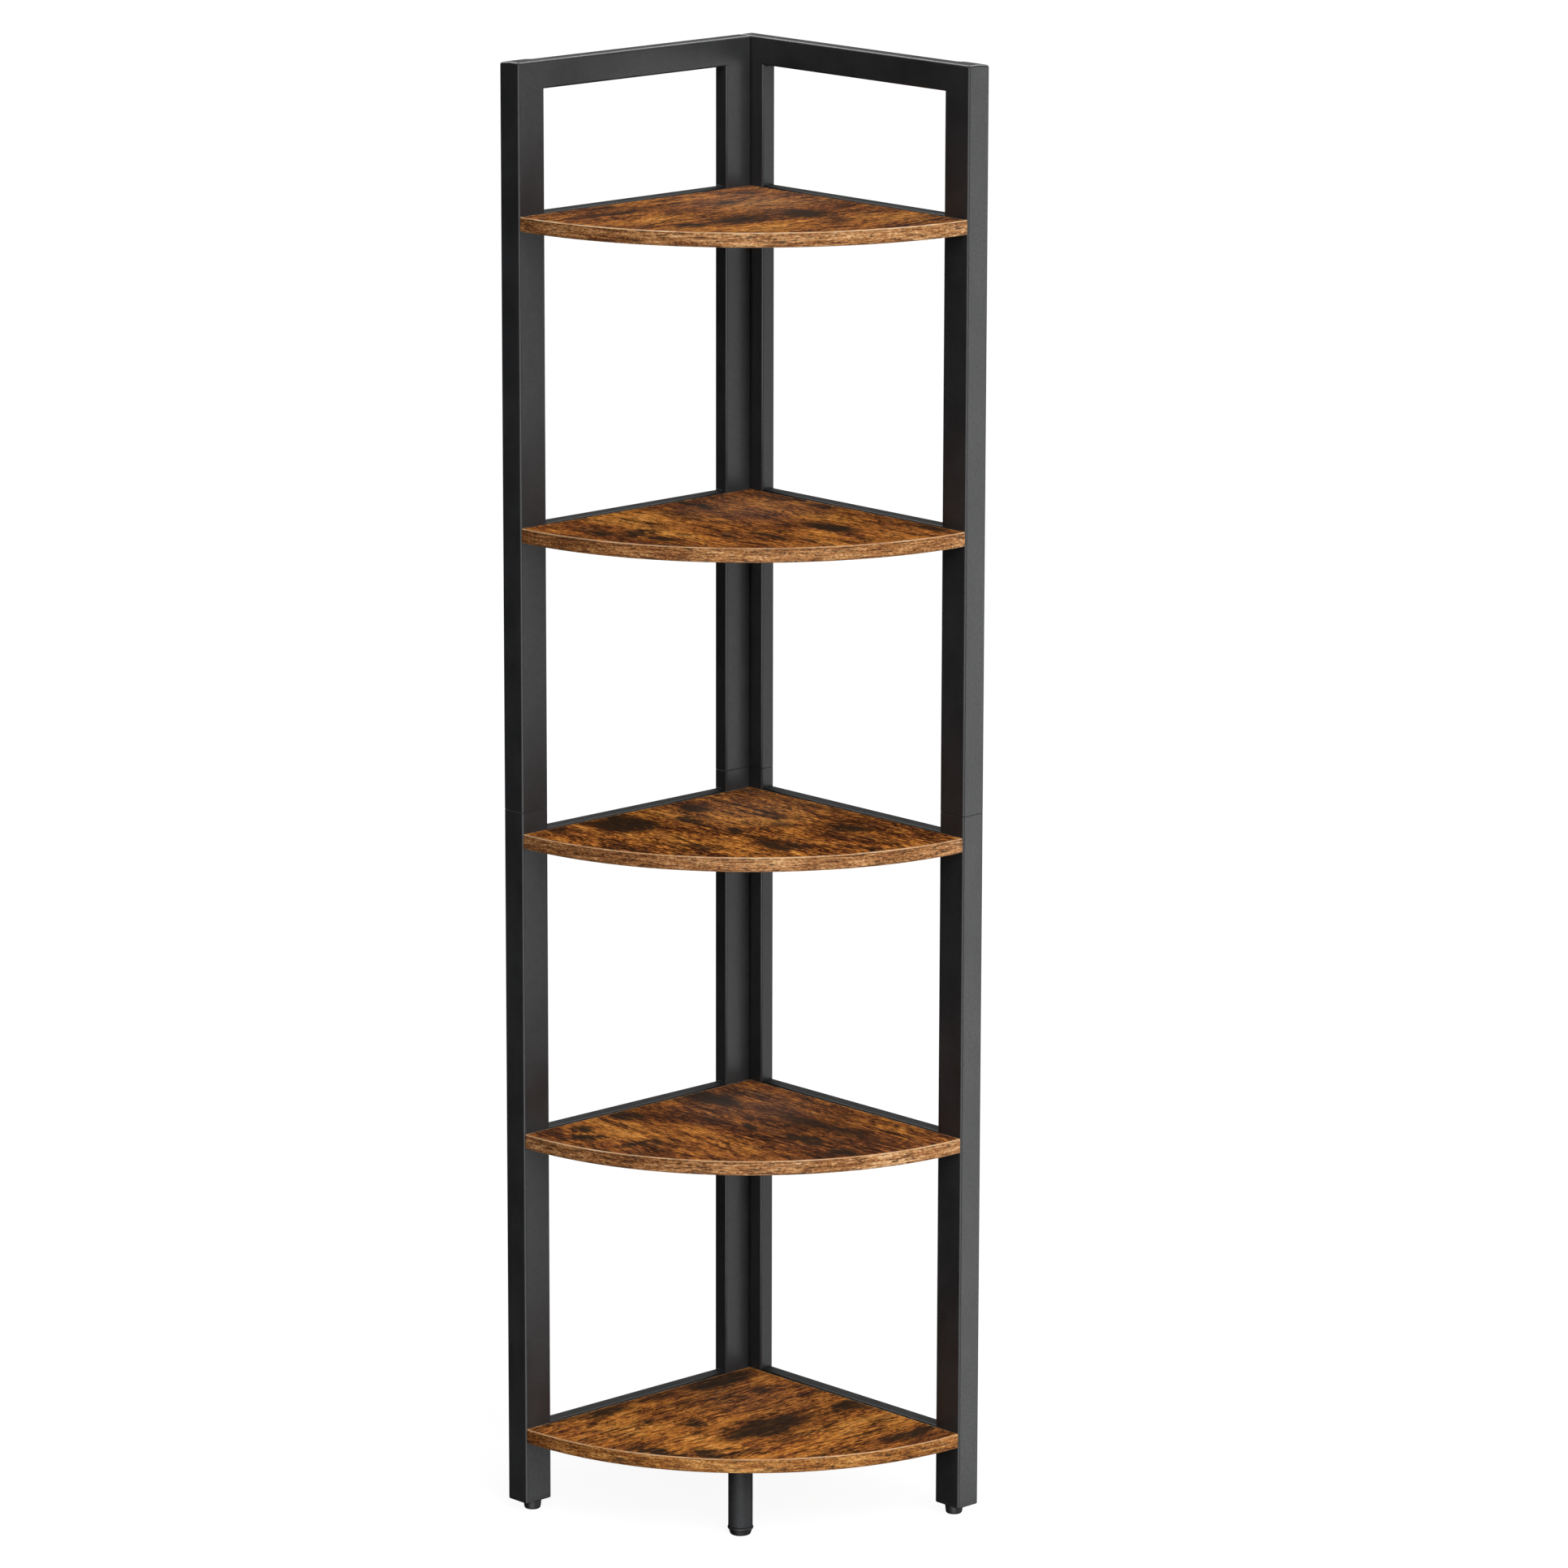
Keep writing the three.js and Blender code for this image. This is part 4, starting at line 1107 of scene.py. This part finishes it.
profile = [(0, 0.25), (6.4, 0.25), (6.9, 0.0), (7.7, 0.0), (8.6, 0.25), (9.2, 0.85), (9.75, 2.4), (10.45, 4.9), (10.7, 5.3), (11.25, 5.45), (11.55, 5.85),
           (11.6, 6.5), (11.5, 7.25), (11.15, 7.75), (10.8, 8.0), (9.3, 8.0), (9.2, 8.2), (9.2, 12.0), (9.0, 12.3), (9.2, 12.7), (9.2, 16.0), (9.0, 16.3),
           (9.2, 16.7), (9.2, 21.0), (8.2, 22.0), (0, 22.0)]
build = Build()
build.add(lathe(soften(profile, 0.28, 3), 64, LEG_X, LEG_Y))
cap = build.make("front_leg_end_cap", CAP_PLASTIC)
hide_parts("front_leg_cap")
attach(cap, "shelf_unit")

# hidden pieces keep their solids and get their finish
for name in POSTS:
    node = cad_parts[f"{name}_post_sleeve"]
    node.data.materials.clear()
    node.data.materials.append(SLEEVE_PLASTIC)
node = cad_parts["front_leg_stud"]
node.data.materials.clear()
node.data.materials.append(ZINC)


# ------------------------------------------------------------- floor and light
def stage_floor():
    size = 40.0
    mesh = bpy.data.meshes.new("floor")
    mesh.from_pydata([(-size, -size, 0), (size, -size, 0), (size, size, 0), (-size, size, 0)], [], [(0, 1, 2, 3)])
    floor = bpy.data.objects.new("floor", mesh)
    floor.location = (0, 0, -0.0002)
    scene.collection.objects.link(floor)
    mat = bpy.data.materials.new("pale_floor")
    mat.use_nodes = True
    t = mat.node_tree
    t.nodes.clear()
    out = t.nodes.new("ShaderNodeOutputMaterial")
    pale = t.nodes.new("ShaderNodeBsdfDiffuse")
    pale.inputs["Color"].default_value = (0.12, 0.12, 0.12, 1)
    glow = t.nodes.new("ShaderNodeEmission")
    glow.inputs["Color"].default_value = (1, 1, 1, 1)
    glow.inputs["Strength"].default_value = 0.93
    seen = t.nodes.new("ShaderNodeAddShader")
    t.links.new(pale.outputs[0], seen.inputs[0])
    t.links.new(glow.outputs[0], seen.inputs[1])
    dim = t.nodes.new("ShaderNodeBsdfDiffuse")
    dim.inputs["Color"].default_value = (0.30, 0.30, 0.30, 1)
    clear = t.nodes.new("ShaderNodeBsdfTransparent")
    gloss_mix = t.nodes.new("ShaderNodeMixShader")
    mix = t.nodes.new("ShaderNodeMixShader")
    path = t.nodes.new("ShaderNodeLightPath")
    t.links.new(path.outputs["Is Camera Ray"], mix.inputs[0])
    t.links.new(path.outputs["Is Glossy Ray"], gloss_mix.inputs[0])
    t.links.new(dim.outputs[0], gloss_mix.inputs[1])
    t.links.new(clear.outputs[0], gloss_mix.inputs[2])
    t.links.new(gloss_mix.outputs[0], mix.inputs[1])
    t.links.new(seen.outputs[0], mix.inputs[2])
    t.links.new(mix.outputs[0], out.inputs["Surface"])
    mesh.materials.append(mat)
    return floor


stage_floor()

# Soft studio dome. Each lobe is (towards the light, tightness, brightness).
FILL = dict(ambient=0.12, lobes=[((0.733, -0.232, 0.640), 8.0, 6.9)])
GLOSS = dict(ambient=0.018, lobes=[
    ((0.700, 0.660, -0.200), 16.0, 1.45),     # light wall behind the right side
    ((-0.130, 0.690, 0.700), 22.0, 8.2),      # strip above the back
    ((-0.725, 0.120, 0.660), 22.0, 7.6),      # strip above the left side
    ((0.660, -0.700, -0.220), 8.0, 3.5),      # pale room behind the camera
])

world = bpy.data.worlds.new("studio")
scene.world = world
world.use_nodes = True
t = world.node_tree
t.nodes.clear()
wout = t.nodes.new("ShaderNodeOutputWorld")
coord = t.nodes.new("ShaderNodeTexCoord")
wpath = t.nodes.new("ShaderNodeLightPath")


def wmath(op, a, b):
    m = t.nodes.new("ShaderNodeMath")
    m.operation = op
    for s_, v_ in ((m.inputs[0], a), (m.inputs[1], b)):
        if isinstance(v_, bpy.types.NodeSocket):
            t.links.new(v_, s_)
        else:
            s_.default_value = v_
    return m.outputs[0]


def dome(ambient, lobes):
    total = None
    for direction, tight, bright in lobes:
        dot = t.nodes.new("ShaderNodeVectorMath")
        dot.operation = "DOT_PRODUCT"
        t.links.new(coord.outputs["Generated"], dot.inputs[0])
        dot.inputs[1].default_value = Vector(direction).normalized()
        lobe = wmath("MULTIPLY", wmath("POWER", wmath("MAXIMUM", dot.outputs["Value"], 0.0), tight), bright)
        total = lobe if total is None else wmath("ADD", total, lobe)
    bg = t.nodes.new("ShaderNodeBackground")
    bg.inputs["Color"].default_value = (1, 1, 1, 1)
    t.links.new(wmath("ADD", total, ambient), bg.inputs["Strength"])
    return bg.outputs[0]


def wmix(fac, a, b):
    m = t.nodes.new("ShaderNodeMixShader")
    t.links.new(fac, m.inputs[0])
    t.links.new(a, m.inputs[1])
    t.links.new(b, m.inputs[2])
    return m.outputs[0]


seen_bg = t.nodes.new("ShaderNodeBackground")
seen_bg.inputs["Color"].default_value = (1, 1, 1, 1)
seen_bg.inputs["Strength"].default_value = 1.0
sky = wmix(wpath.outputs["Is Glossy Ray"], dome(**FILL), dome(**GLOSS))
t.links.new(wmix(wpath.outputs["Is Camera Ray"], sky, seen_bg.outputs[0]), wout.inputs["Surface"])

scene.view_settings.view_transform = "Standard"
scene.view_settings.look = "None"
scene.view_settings.exposure = 0.0
scene.view_settings.gamma = 1.0

# narrow softbox standing close to the right end, behind it
strip_data = bpy.data.lights.new("side_strip", "AREA")
strip_data.shape = "RECTANGLE"
strip_data.size, strip_data.size_y = 0.06, 1.40
strip_data.energy = 2.3 * math.pi * 0.06 * 1.40
strip = bpy.data.objects.new("side_strip", strip_data)
scene.collection.objects.link(strip)
strip_at = Vector((0.360, 0.3375, 0.62))
toward = Vector((0.150, 0.1375, 0.62)) - strip_at
strip.matrix_world = Matrix.Translation(strip_at) @ toward.to_track_quat("-Z", "Y").to_matrix().to_4x4()
strip.visible_camera = False

# --------------------------------------------------------------------- camera
cam_data = bpy.data.cameras.new("camera")
cam_data.sensor_width = 36.0
cam_data.sensor_fit = "AUTO"
cam_data.lens = 9308.594 / 1932.0 * 36.0
cam_data.clip_start, cam_data.clip_end = 0.1, 120.0
cam = bpy.data.objects.new("camera", cam_data)
scene.collection.objects.link(cam)
right = Vector((0.6856562355675975, 0.7279222801283094, 0.002163497186114341))
up = Vector((-0.16566502176636416, 0.153150330792299, 0.9742176742090853))
back = -Vector((-0.7088234104418543, 0.6683368389300506, -0.22559973966865784))
cam.matrix_world = Matrix((
    (right.x, up.x, back.x, 4.754492545288071),
    (right.y, up.y, back.y, -4.433876411415787),
    (right.z, up.z, back.z, 2.1798599029513407),
    (0.0, 0.0, 0.0, 1.0),
))
scene.camera = cam

bpy.context.view_layer.update()
